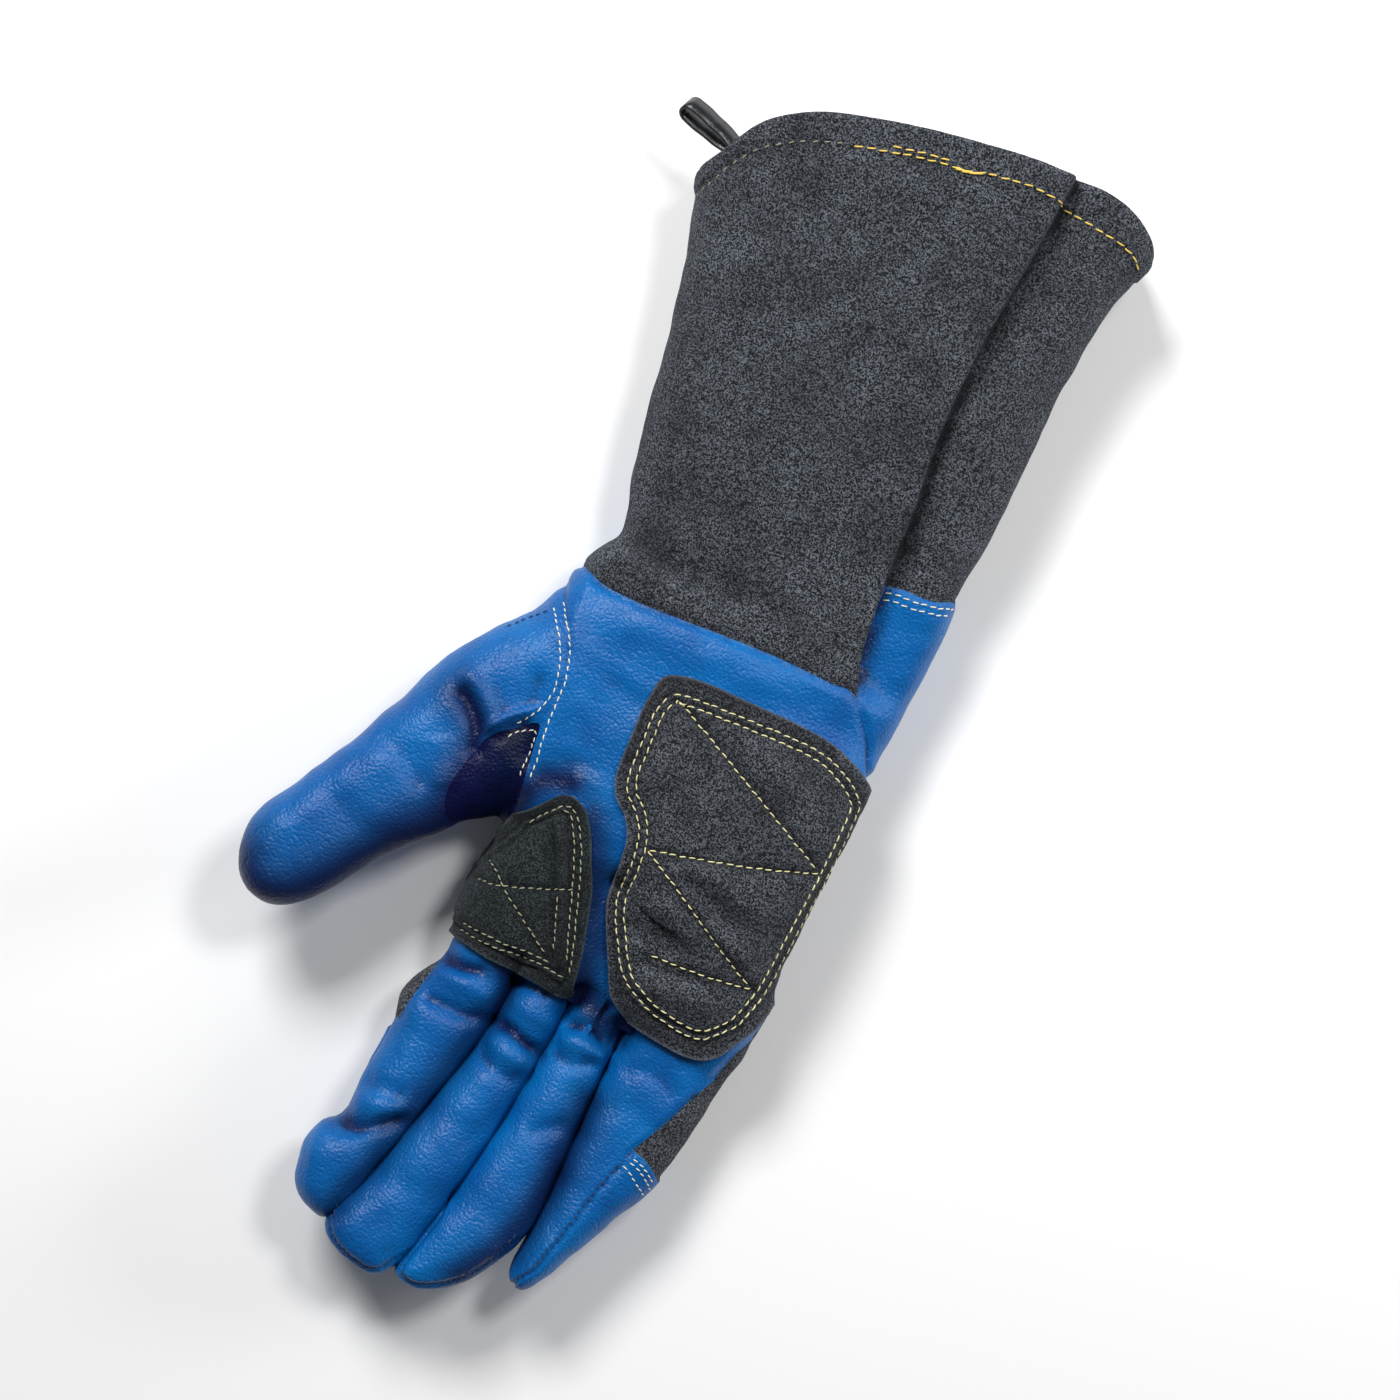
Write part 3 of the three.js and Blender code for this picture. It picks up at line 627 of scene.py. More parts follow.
def lie(v, n, finger=None, thumb=False, early=0.3):
    """How far each point of the smooth form moves out along its normal: folds, creases, seams and unevenness.

    early is how far before the gauntlet's free edge the step down to the back panel starts.
    """
    x, y, z = v.T
    up = ease((n[:, 2] + 0.25) / 0.6)
    move = np.zeros(len(v))
    for line, height, width in FOLD_LINES:
        near = close_to(line, width, v)
        if near.any():
            d, along = away_from(line, x[near], y[near])
            move[near] += height * bell(d, width) * near_ends(along, 5, 0.15) * up[near]
    # the palm side of the gauntlet ends in a free edge, and the back comes out from under it
    past = x - CUFF_SEAM(y) + early
    under = np.where(past > 0, (1 - bell(past, 0.9)) * bell(past, 17), 0)
    move -= 7.5 * up * ease((y - 3) / 14) * under
    move += 0.8 * up * ease((y - 3) / 14) * np.where(past > 0, 0, bell(past + 3, 3))
    s = seam_fields(v)
    if finger is None:
        move += groove(s["hand"], 1.5, 1.8)
        move += groove(s["edge"], 0.9, 1.6) * (y < -18)
        move += groove(s["front"], 0.9, 1.6) * (y > 6) * (x < 0)
        hem = hem_distance(x, y)
        hem_step = 0.9 * ease((HEM_DEPTH - hem) / HEM_RAMP) - 1.1 * np.clip(1 - hem / 1.8, 0, 1) ** 2
        move += np.where(y > 90, hem_step, 0)
        below = BAND_TOP(x) - y
        on_back = s["front"] < 0
        move += np.where((below > 0) & on_back & (y > -10), ease((16 - below) / 14), 0) * ease(y / 20 + 0.5)
        move += groove(below, 0.5, 1.2) * on_back * (y > 30)
    else:
        split = finger_split(finger, v)
        sewn_in_sight = finger != "index"
        move += groove(split, 1.2 if sewn_in_sight else 0.9, 1.0) * (y < -146)
        move += np.where(split > 0, 0.3 * bell(split - 2.0, 1.2), 0) * sewn_in_sight * (y < -165)
        over = cap_line(finger, x) - y
        move += np.where((over > 0) & (split < 0), 1.1 * ease((26 - over) / 22), 0)
    if thumb or finger is None:
        d, _ = away_from(THUMB_SEAM, x, y)
        move += groove(d, 1.3, 1.5) * (y < 6) * (y > -95)
        d = outline_distance(GUSSET, x, y)
        move += (groove(d, 0.8, 1.2) - 1.4 * ease(-d / 3)) * (x < -47) * up
    # slow unevenness of soft leather
    broad = np.array([noise.noise((a / 26, b / 26, c / 26)) for a, b, c in v])
    fine = np.array([noise.noise((a / 9 + 7, b / 8, c / 9)) for a, b, c in v])
    return move + (0.8 * broad + 0.42 * fine)


def form(which, box, finger=None):
    """The outside of the glove, or of one finger, as a sheet (vertices, normals, triangles)."""
    field, axes = gridded(which, box, STEP)
    v, t = surface(field, axes, STEP)
    v = relax(v, t, 2)
    n = normals_of(v, t)
    move = lie(v, n, finger, "thumb" in which)
    v = v + n * move[:, None]
    v[:, 2] = np.maximum(v[:, 2], 0.0)
    return v, normals_of(v, t), t


def halves(sheet, values):
    """Both sides of a cut, without its crumbs."""
    return [clean(s) for s in cut(sheet, values)]


def part(sheet, values):
    """The crumb-free share of a sheet where values are above zero."""
    return clean(cut(sheet, values)[0])


# ---------- materials ----------
class Nodes:
    """A small builder for a node material that reads the rest position, in mm, stored on each mesh."""

    def __init__(self, name):
        self.material = bpy.data.materials.new(name)
        self.material.use_nodes = True
        self.tree = self.material.node_tree
        self.shader = self.tree.nodes["Principled BSDF"]
        self.rest = self.add("ShaderNodeAttribute")
        self.rest.attribute_name = "rest_mm"
        self.at = self.rest.outputs["Vector"]

    def add(self, kind, **settings):
        node = self.tree.nodes.new(kind)
        for key, value in settings.items():
            setattr(node, key, value)
        return node

    def link(self, a, b):
        self.tree.links.new(a, b)

    def noise(self, scale, detail=3.0, rough=0.55, warp=0.0):
        node = self.add("ShaderNodeTexNoise")
        self.link(self.at, node.inputs["Vector"])
        node.inputs["Scale"].default_value = scale
        node.inputs["Detail"].default_value = detail
        node.inputs["Roughness"].default_value = rough
        node.inputs["Distortion"].default_value = warp
        return node.outputs["Fac"]

    def cells(self, scale, feature="DISTANCE_TO_EDGE"):
        node = self.add("ShaderNodeTexVoronoi", feature=feature)
        self.link(self.at, node.inputs["Vector"])
        node.inputs["Scale"].default_value = scale
        return node.outputs["Distance"]

    def math(self, operation, a, b=0.5):
        node = self.add("ShaderNodeMath", operation=operation)
        for k, value in enumerate((a, b)):
            if isinstance(value, (int, float)):
                node.inputs[k].default_value = value
            else:
                self.link(value, node.inputs[k])
        return node.outputs[0]

    def attribute(self, name):
        node = self.add("ShaderNodeAttribute")
        node.attribute_name = name
        return node.outputs["Fac"]

    def ramp(self, value, *stops):
        node = self.add("ShaderNodeValToRGB")
        ramp = node.color_ramp
        while len(ramp.elements) < len(stops):
            ramp.elements.new(0.5)
        for element, (at, color) in zip(ramp.elements, stops):
            element.position = at
            element.color = (*color, 1)
        self.link(value, node.inputs["Fac"])
        return node.outputs["Color"]

    def mix(self, share, a, b, blend="MIX"):
        node = self.add("ShaderNodeMix", data_type="RGBA", blend_type=blend)
        for key, value in (("Factor", share), ("A", a), ("B", b)):
            socket = node.inputs[key]
            if isinstance(value, tuple):
                socket.default_value = (*value, 1)
            elif isinstance(value, (int, float)):
                socket.default_value = value
            else:
                self.link(value, socket)
        return node.outputs["Result"]

    def bump(self, height, distance, strength=1.0, under=None):
        node = self.add("ShaderNodeBump")
        node.inputs["Strength"].default_value = strength
        node.inputs["Distance"].default_value = distance
        self.link(height, node.inputs["Height"])
        if under is not None:
            self.link(under, node.inputs["Normal"])
        self.link(node.outputs["Normal"], self.shader.inputs["Normal"])
        return node.outputs["Normal"]


def grain_leather(name, deep, mid, bright, shadow, gloss=0.24):
    """Smooth-side leather: fine pebbled grain and uneven dye, with painted shade mixed into its colour in
    creases and along the painted shade lines.
    """
    m = Nodes(name)
    color = m.ramp(m.noise(0.035, 3), (0.3, deep), (0.5, mid), (0.72, bright))
    pores = m.ramp(m.cells(0.95), (0.0, (1, 1, 1)), (0.14, (0, 0, 0)))
    color = m.mix(m.math("MULTIPLY", pores, 0.35), color, deep)
    # painted shade: the shadow colour is mixed in along the painted shade lines and in creases
    color = m.mix(m.attribute("painted_shade"), color, shadow)
    color = m.mix(m.attribute("crease"), color, shadow)
    m.link(color, m.shader.inputs["Base Color"])
    m.link(m.ramp(m.noise(0.9, 3), (0.3, (0.34,) * 3), (0.7, (0.42,) * 3)), m.shader.inputs["Roughness"])
    m.shader.inputs["Specular IOR Level"].default_value = gloss
    dome = m.cells(1.05, "SMOOTH_F1")
    first = m.bump(m.math("MULTIPLY", m.math("MULTIPLY", dome, dome), -1.0), 0.00036, 1.0)
    m.bump(m.noise(0.34, 3, 0.6, 0.8), 0.00032, 0.5, first)
    return m.material


def suede(name, dark, mid, light):
    """Split leather: short clumped nap with pale fibre ends, rubbed patches, and paler fibre at cut edges."""
    m = Nodes(name)
    nap = m.noise(1.5, 3, 0.85)
    clump = m.noise(0.75, 2, 0.6, 0.4)
    tone = m.math("ADD", m.math("MULTIPLY", nap, 0.85), m.math("MULTIPLY", clump, 0.15))
    color = m.ramp(tone, (0.46, dark), (0.505, mid), (0.55, light))
    rubbed = m.ramp(m.noise(0.045, 3, 0.6, 0.5), (0.32, (0.5,) * 3), (0.64, (0.0,) * 3))
    color = m.mix(rubbed, color, dark)
    # painted shade: the suede is darker in creases and along the painted shade lines
    color = m.mix(m.attribute("crease"), color, tuple(c * 0.25 for c in dark))
    color = m.mix(m.attribute("painted_shade"), color, tuple(c * 0.4 for c in dark))
    color = m.mix(m.attribute("raw_edge"), color, tuple(c * 1.5 for c in light))
    m.link(color, m.shader.inputs["Base Color"])
    m.shader.inputs["Roughness"].default_value = 0.95
    m.shader.inputs["Specular IOR Level"].default_value = 0.2
    m.shader.inputs["Sheen Weight"].default_value = 0.12
    m.shader.inputs["Sheen Roughness"].default_value = 0.5
    m.shader.inputs["Sheen Tint"].default_value = (0.62, 0.68, 0.78, 1)
    first = m.bump(tone, 0.0015, 1.0)
    m.bump(m.noise(3.4, 2, 0.7), 0.0003, 0.7, first)
    return m.material


def thread(name, color):
    m = Nodes(name)
    wave = m.noise(2.5, 2)
    m.link(m.ramp(wave, (0.35, tuple(c * 0.7 for c in color)), (0.65, color)), m.shader.inputs["Base Color"])
    m.shader.inputs["Roughness"].default_value = 0.55
    m.shader.inputs["Sheen Weight"].default_value = 0.2
    m.bump(m.noise(4, 2), 0.0002, 0.6)
    return m.material


def cloth_lining(name, dark, light, weave):
    m = Nodes(name)
    if weave:
        rows = m.add("ShaderNodeTexWave", wave_type="BANDS", bands_direction="X")
        cols = m.add("ShaderNodeTexWave", wave_type="BANDS", bands_direction="Y")
        for node in (rows, cols):
            m.link(m.at, node.inputs["Vector"])
            node.inputs["Scale"].default_value = 0.45
            node.inputs["Distortion"].default_value = 0.6
        height = m.math("MULTIPLY", rows.outputs["Fac"], cols.outputs["Fac"])
    else:
        height = m.noise(0.8, 5, 0.7)
    m.link(m.ramp(height, (0.2, dark), (0.75, light)), m.shader.inputs["Base Color"])
    m.shader.inputs["Roughness"].default_value = 1.0
    m.shader.inputs["Sheen Weight"].default_value = 0.4
    m.bump(height, 0.0007, 0.8)
    return m.material


def glossy_strip(name):
    m = Nodes(name)
    color = m.ramp(m.noise(0.3), (0.3, (0.006, 0.007, 0.009)), (0.7, (0.018, 0.02, 0.024)))
    m.link(color, m.shader.inputs["Base Color"])
    m.shader.inputs["Roughness"].default_value = 0.28
    m.bump(m.noise(0.9, 3), 0.0004, 0.5)
    return m.material


# the shadow colour that painted shade darkens the blue and navy leather towards
PAINTED_SHADE_BLUE = (0.004, 0.005, 0.045)
BLUES = ((0.001, 0.08, 0.3), (0.001, 0.112, 0.37), (0.001, 0.145, 0.44))
NAVIES = ((0.001, 0.003, 0.016), (0.001, 0.005, 0.028), (0.001, 0.008, 0.045))
BLUE = grain_leather("blue_grain_leather", *BLUES, PAINTED_SHADE_BLUE)
NAVY = grain_leather("navy_gusset_leather", *NAVIES, PAINTED_SHADE_BLUE, gloss=0.12)
SUEDE = suede("charcoal_suede", (0.0025, 0.003, 0.0045), (0.018, 0.0205, 0.026), (0.235, 0.258, 0.3))
PATCH_SUEDE = suede("dark_patch_suede", (0.002, 0.003, 0.004), (0.007, 0.011, 0.012), (0.085, 0.115, 0.12))
CREAM_THREAD = thread("cream_thread", (0.95, 0.9, 0.7))
YELLOW_THREAD = thread("pale_yellow_thread", (0.95, 0.88, 0.45))
# a dimmer yellow thread for the crotch patch, also used as painted shade: darkened thread on the hem's left
# side, where it lies in shade
DULL_AND_SHADED_THREAD = thread("dull_and_shaded_yellow_thread", (0.42, 0.43, 0.26))
GOLD_THREAD = thread("golden_thread", (0.95, 0.66, 0.12))
BLUE_THREAD = thread("dark_blue_thread", (0.004, 0.02, 0.11))
FLEECE = cloth_lining("fleece_lining", (0.32, 0.29, 0.24), (0.62, 0.58, 0.5), False)
COTTON = cloth_lining("cotton_lining", (0.13, 0.135, 0.14), (0.3, 0.31, 0.32), True)
TRIM = glossy_strip("loop_trim")


def dress(obj, material, crease=None, raw=None, painted_shade=None):
    """Gives a finished mesh its material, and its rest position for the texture."""
    mesh = obj.data
    mesh.materials.clear()
    mesh.materials.append(material)
    co = np.empty(len(mesh.vertices) * 3, np.float32)
    mesh.vertices.foreach_get("co", co)
    at = mesh.attributes.new("rest_mm", "FLOAT_VECTOR", "POINT")
    at.data.foreach_set("vector", co * 1000)
    for name, values in (("crease", crease), ("raw_edge", raw), ("painted_shade", painted_shade)):
        if values is not None:
            layer = mesh.attributes.new(name, "FLOAT", "POINT")
            layer.data.foreach_set("value", np.asarray(values, np.float32))


def attach(obj, bend):
    """bend is a body's name, which the piece is attached to, or (body a, body b, start mm, end mm) for a
    piece meant to bend from a to b; such a piece is left unattached with its transform baked in, and the
    tuple's values are not read.
    """
    if isinstance(bend, str):
        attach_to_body(obj, bend)
    else:
        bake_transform(obj)


THUMB_BEND = ("hand", "thumb", (-58, -47, 30), (-86, -55.7, 30))
CUFF_BEND = ("hand", "gauntlet", (0, 8, 30), (0, 58, 30))


def finger_bend(name):
    x = {"index": -33, "middle": -8, "ring": 14, "little": 45}[name]
    return ("hand", name + "_finger", (x, -140, 30), (x, -176, 30))


shown = []  # the outer pieces, which the rows of stitches are laid on


def panel(name, sheet, material, bend, nodes, thick=LEATHER):
    v, n, t = sheet
    obj = leather_piece(name, sheet, thick)
    # painted shade in the creases, from how deep each point lies in one
    crease = crease_shade_of(v, t, n)
    # painted shade: the colour is darkened along the painted shade lines, where the form falls into shade
    painted_shade = painted_shade_at(v, n)
    dress(obj, material, crease=np.tile(crease, 2), painted_shade=np.tile(painted_shade, 2))
    attach(obj, bend)
    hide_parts(*nodes)
    shown.append(obj)


def blue_panel(name, sheet, bend, node, material=BLUE):
    panel(name + "_leather", sheet, material, bend, [node])


def suede_panel(name, sheet, bend, node, thick=LEATHER):
    panel(name + "_suede", sheet, SUEDE, bend, [node], thick)


def painted_shade_at(v, n):
    """How much painted shade darkens the leather at each point, from 0 to 1, where it faces upwards."""
    unshaded = np.ones(len(v))
    for line, share, width in PAINTED_SHADE_LINES:
        near = close_to(line, width, v)
        if near.any():
            d, _ = away_from(line, v[near, 0], v[near, 1])
            unshaded[near] *= 1 - share * bell(d, width)
    return (1 - unshaded) * ease((n[:, 2] + 0.4) / 0.4)


def crease_shade_of(v, t, n):
    """How deep in a crease each vertex lies, from how much its neighbours stand above it; used as painted
    shade in the creases.
    """
    edges = np.unique(np.sort(edges_of(t), 1), axis=0)
    degree = np.maximum(np.bincount(edges.ravel(), minlength=len(v)), 1)
    d = v[edges[:, 1]] - v[edges[:, 0]]
    rise = np.zeros(len(v))
    np.add.at(rise, edges[:, 0], (d * n[edges[:, 0]]).sum(1))
    np.add.at(rise, edges[:, 1], (-d * n[edges[:, 1]]).sum(1))
    rise /= degree
    for _ in range(3):
        total = np.zeros(len(v))
        np.add.at(total, edges[:, 0], rise[edges[:, 1]])
        np.add.at(total, edges[:, 1], rise[edges[:, 0]])
        rise = (rise + total / degree) / 2
    return np.clip((rise - 0.03) * 5, 0, 0.85)


# ---------- the leather panels ----------
ALL = ["thumb", "index", "middle", "ring", "little"]
whole = form(ALL, (-138, 78, -268, 232, -4, 72))
beside_thumb = outline_distance(THUMB_SIDE, whole[0][:, 0], whole[0][:, 1])
hand_side, thumb_sheet = cut(whole, beside_thumb)
thumb_sheet = clean(thumb_sheet)
hand_side = part(hand_side, hand_side[0][:, 1] - KNUCKLE_Y)
hand_side = part(hand_side, hem_distance(hand_side[0][:, 0], hand_side[0][:, 1]))
hand_sheet, gauntlet_sheet = halves(hand_side, seam_fields(hand_side[0])["hand"])
palm, back = halves(hand_sheet, seam_fields(hand_sheet[0])["edge"])
cuff_front, rest_sheet = halves(gauntlet_sheet, seam_fields(gauntlet_sheet[0])["front"])
band, cuff_back = halves(rest_sheet, seam_fields(rest_sheet[0])["band"])

blue_panel("palm", palm, "hand", "palm_panel")
suede_panel("back", back, "hand", "back_panel")
for name, sheet in (("front", cuff_front), ("back", cuff_back)):
    turned_in = 1.5 * ease((HEM_DEPTH - hem_distance(sheet[0][:, 0], sheet[0][:, 1])) / HEM_RAMP)
    suede_panel("gauntlet_" + name, sheet, CUFF_BEND, "cuff_" + name, 1.9 + turned_in)
blue_panel("wrist_band", band, CUFF_BEND, "wrist_band")

tv = thumb_sheet[0]
gusset, thumb_rest = halves(thumb_sheet, -outline_distance(GUSSET, tv[:, 0], tv[:, 1]))
tv = thumb_rest[0]
thumb_split = tv[:, 2] - (22 + 16 * thumb_along(tv[:, 0], tv[:, 1]) ** 1.15)
thumb_front, thumb_back = halves(thumb_rest, thumb_split)
blue_panel("thumb_front", thumb_front, THUMB_BEND, "thumb_front")
blue_panel("thumb_back", thumb_back, THUMB_BEND, "thumb_back")
blue_panel("thumb_gusset", gusset, THUMB_BEND, "thumb_gusset", NAVY)

SIDEWALLS = {
    "index": {"index_sidewall": 1},
    "middle": {"middle_sidewall_index_side": -1, "middle_sidewall_ring_side": 1},
    "ring": {"ring_sidewall_middle_side": -1, "ring_sidewall_little_side": 1},
    "little": {"little_sidewall": -1},
}
TIPS = {"index": -248, "middle": -258, "ring": -255, "little": -239}


def finger_box(name):
    """The drawing box round a finger, for its grid."""
    xs = [x for x, y in FINGERS[name]]
    return (min(xs) - 8, max(xs) + 8, -266, -118, -4, 60)


def centre_line(outline):
    """Positions along a finger and the middle of its outline at each."""
    line = curve(outline, True)
    rows = np.arange(-262, -100, 4.0)
    beside = [line[np.abs(line[:, 1] - r) < 3][:, 0] for r in rows]
    centre = np.array([xs.mean() if len(xs) else np.nan for xs in beside])
    return rows, np.interp(rows, rows[~np.isnan(centre)], centre[~np.isnan(centre)])


for name, outline in FINGERS.items():
    sheet = form([name], finger_box(name), name)
    rest_of = part(sheet, KNUCKLE_Y - sheet[0][:, 1])
    rows, centre = centre_line(outline)
    for wall, side in SIDEWALLS[name].items():
        v = rest_of[0]
        across = (v[:, 0] - np.interp(v[:, 1], rows, centre)) * side
        tall = 4.5 - np.abs(v[:, 2] - FINGER_MIDDLE(v[:, 1]))
        strip = np.minimum(np.minimum(tall, across - 3), v[:, 1] - TIPS[name] - 24)
        inside, rest_of = halves(rest_of, strip)
        blue_panel(wall, inside, finger_bend(name), wall)
    front, rear = halves(rest_of, finger_split(name, rest_of[0]))
    cap, rear = halves(rear, cap_line(name, rear[0][:, 0]) - rear[0][:, 1])
    blue_panel(name + "_front", front, finger_bend(name), name + "_front")
    suede_panel(name + "_back", rear, finger_bend(name), name + "_back")
    blue_panel(name + "_cap", cap, finger_bend(name), name + "_tip_cap")


# ---------- linings ----------
LINING_STEP = 2.5  # grid spacing
LINING_DEPTH = 2.9  # how far inside the glove's form
LINING_THICK = 1.2


def lining(name, which, box, trims, bend, node, material):
    """The glove's form taken inwards, without the parts where a trim of its points is below zero."""
    field, axes = gridded(which, box, LINING_STEP)
    v, t = surface(field + LINING_DEPTH, axes, LINING_STEP)
    v = relax(v, t, 2)
    n = normals_of(v, t)
    v = v + n * np.minimum(lie(v, n, early=LINING_EARLY), 0.3)[:, None]
    v[:, 2] = np.maximum(v[:, 2], LEATHER + 0.5)
    sheet = (v, normals_of(v, t), t)
    for trim in trims:
        sheet = part(sheet, trim(sheet[0]))
    obj = leather_piece(name, sheet, LINING_THICK)
    dress(obj, material)
    attach(obj, bend)
    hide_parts(node)


def fleece(name, which, box, trims, bend):
    lining(name + "_lining_fleece", which, box, trims, bend, name + "_lining", FLEECE)


def off_thumb(v):
    return outline_distance(THUMB_SIDE, v[:, 0], v[:, 1]) - 0.5


def below_hem(v):
    return hem_distance(v[:, 0], v[:, 1]) - HEM_DEPTH - 1.5


def above_wrist(v):
    return v[:, 1] - 4


def over_split(v):
    return v[:, 2] - sleeve_split(v[:, 0], v[:, 1])


SLEEVE_BOX = (-124, 74, -150, 232, -4, 72)
for side, half in (("front", over_split), ("back", lambda v: -over_split(v))):
    lining(f"gauntlet_lining_{side}_cotton", ["thumb"], SLEEVE_BOX, [off_thumb, below_hem, above_wrist, half],
           CUFF_BEND, "cuff_lining_" + side, COTTON)
fleece("hand", ALL, (-124, 74, -150, 20, -4, 60),
       [off_thumb, lambda v: 3 - v[:, 1], lambda v: v[:, 1] - KNUCKLE_Y], "hand")
fleece("thumb", ["thumb"], (-138, -30, -170, 20, -4, 64),
       [lambda v: 0.5 - outline_distance(THUMB_SIDE, v[:, 0], v[:, 1])], THUMB_BEND)
for name in FINGERS:
    fleece(name, [name], finger_box(name), [lambda v: KNUCKLE_Y - v[:, 1]], finger_bend(name))


# ---------- quilted patches ----------
PAD = curve([
    (-23, -20), (-20, -16.8), (-10, -14), (10, -12.5), (30, -12), (40, -12.5), (48, -14.5), (56, -18),
    (62, -22.5), (65, -28), (66.5, -52), (66.5, -80), (66.5, -100), (64.5, -112), (61.5, -121), (57, -130),
    (50, -134.5), (40, -135.2), (27, -133.5), (19, -130.5), (13, -126.5), (8.5, -119.5), (3.5, -112),
    (-1.5, -104), (-4.5, -96), (-5.5, -84), (-7.5, -75), (-12, -68.5), (-16.5, -65.5), (-19.5, -61),
    (-21.5, -54), (-22.5, -44), (-23.8, -28),
], True)
PATCH = curve([
    (-64, -138), (-64, -92), (-49.5, -89), (-44, -84), (-38, -76.5), (-35, -73.5), (-31, -71.8),
    (-27, -72.8), (-23, -75.5), (-17, -84), (-11, -97), (-5, -113), (-2, -122), (-0.2, -130),
    (-0.4, -135.5), (-3.5, -137.2), (-10, -136), (-30, -137.5), (-46, -136.6),
], True)
PAD_ZIGZAG = [
    curve([(-14, -24), (10, -34), (36, -45), (59, -55)]), curve([(59, -55), (40, -63), (20, -70), (1, -76)]),
    curve([(1, -76), (20, -85), (40, -95), (57, -103)]), curve([(57, -103), (40, -106.5), (18, -109)]),
]
PATCH_CROSS = [
    curve([(-48, -114.5), (-43, -113.6), (-38, -112), (-27, -107), (-15.5, -101)]),
    curve([(-47.5, -106.5), (-42, -109), (-38, -112.5), (-26, -119.5), (-11.5, -127.5)]),
]


def inset(outline, by):
    ahead = unit(np.roll(outline, -2, 0) - np.roll(outline, 2, 0))
    beyond = np.roll(outline, -1, 0)
    area = (outline[:, 0] * beyond[:, 1] - beyond[:, 0] * outline[:, 1]).sum()
    inward = np.stack([-ahead[:, 1], ahead[:, 0]], 1) * np.sign(area)
    return outline + inward * by


def pad_margin(x, y):
    """How much wider the border outside the stitches is than at the pad's sides."""
    return 3.0 * ease((y + 34) / 16) * ease((56 - x) / 70) + 2.8 * ease((-y - 118) / 12)


COVER = LEATHER + 0.2  # thickness of a patch's suede
CLEAR = 1.1  # a fold stays this far above the leather under the patch
FOLD_GAIN = 1.6
CLOTH_FRAMES = 20


def quilted(name, nodes, outline, cross, side_keep, material, height, rows, margin=None, folds=(), ribs=()):
    """A sheet of suede over foam, raised between its rows of stitches and settled by cloth simulation.

    The simulation moves it by a few tenths of a millimetre; the rest of the padding's form is drawn here.
    """
    x, y, z = whole[0].T
    inside = np.minimum(-outline_distance(outline, x, y), side_keep(whole[0]))
    v, n, t = finer(part(whole, inside))
    v = relax(v, t, 1)
    x, y, z = v.T
    to_edge = np.maximum(np.minimum(-outline_distance(outline, x, y), side_keep(v)), 0)
    first, second = rows
    border = to_edge * first / (first + margin(x, y)) if margin else to_edge
    border = np.where(border > first, to_edge - (margin(x, y) if margin else 0), border)
    sewn = np.minimum(np.abs(border - first), np.abs(border - second))
    for line in cross:
        sewn = np.minimum(sewn, away_from(line, x, y)[0])
    puff = np.where(border > second, height * (1 - np.exp(-sewn / 3.0)), 0.0)
    channel = 0.5 * bell(border - (first + second) / 2, 0.9)
    rim = np.where(border < first, 0.5 * np.clip(1 - border / first, 0, 1) ** 1.5, 0)
    piping = np.zeros(len(v))
    for line, tall, width in ribs:
        d, along = away_from(line, x, y)
        end = near_ends(along, 12)
        piping = np.maximum(piping, tall * end * np.sqrt(np.clip(1 - (d / width) ** 2, 0, 1)))
        sewn = np.minimum(sewn, np.abs(d - width - 0.3) + 2 * (1 - end))
    start = v + n * (0.5 + LEATHER + puff * 0.55 + channel + rim)[:, None]
    pinned = (border < second + 0.5) | (sewn < 0.7)
    blown = start
    blown = inflate(name, start, t, pinned, height * 0.9)
    # small puckers where the thread pulls the suede in
    pull = np.array([noise.noise((a / 3.4, b / 3.4, c / 3.4)) for a, b, c in v])
    slow = np.array([noise.noise((a / 12, b / 12, 3)) for a, b, _ in v])
    gather = np.exp(-sewn / 2.6) * 0.5 + np.exp(-np.abs(border - 6) / 3.5) * 0.35
    sunk = -0.45 * bell(sewn, 0.8)
    folded = np.zeros(len(v))
    for line, tall, width in folds:
        d, along = away_from(curve(line, spacing=3), x, y)
        folded += tall * bell(d, width) * near_ends(along, 4, 0.1)
    folded *= FOLD_GAIN * ease((border - second) / 3) * (1 - 0.8 * bell(sewn, 1.2))
    detail = pull * gather + 0.45 * slow + sunk + piping
    lift = ((blown - v) * n).sum(1) + detail
    folded = np.maximum(folded, np.minimum(CLEAR - lift, 0))
    blown = blown + n * (detail + folded)[:, None]
    obj = leather_piece(name, (blown, normals_of(blown, t), t), COVER, n)
    # painted shade: darker in the sewn dips along the stitches and on the border's upper-left side
    crease = np.clip(np.exp(-sewn / 0.9) * 0.5, 0, 0.6)
    raw = np.clip(1 - border / 0.8, 0, 1) * 0.3
    upper_left_border_shade = ease(1.15 - to_edge / first) * ease((y - 1.2 * x + 70) / 60)
    painted_shade = np.clip(0.35 * np.exp(-sewn / 2.2) + 0.6 * upper_left_border_shade, 0, 0.75)
    dress(obj, material, np.tile(crease, 2), np.tile(raw, 2), np.tile(painted_shade, 2))
    attach(obj, "hand")
    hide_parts(*nodes)
    shown.append(obj)


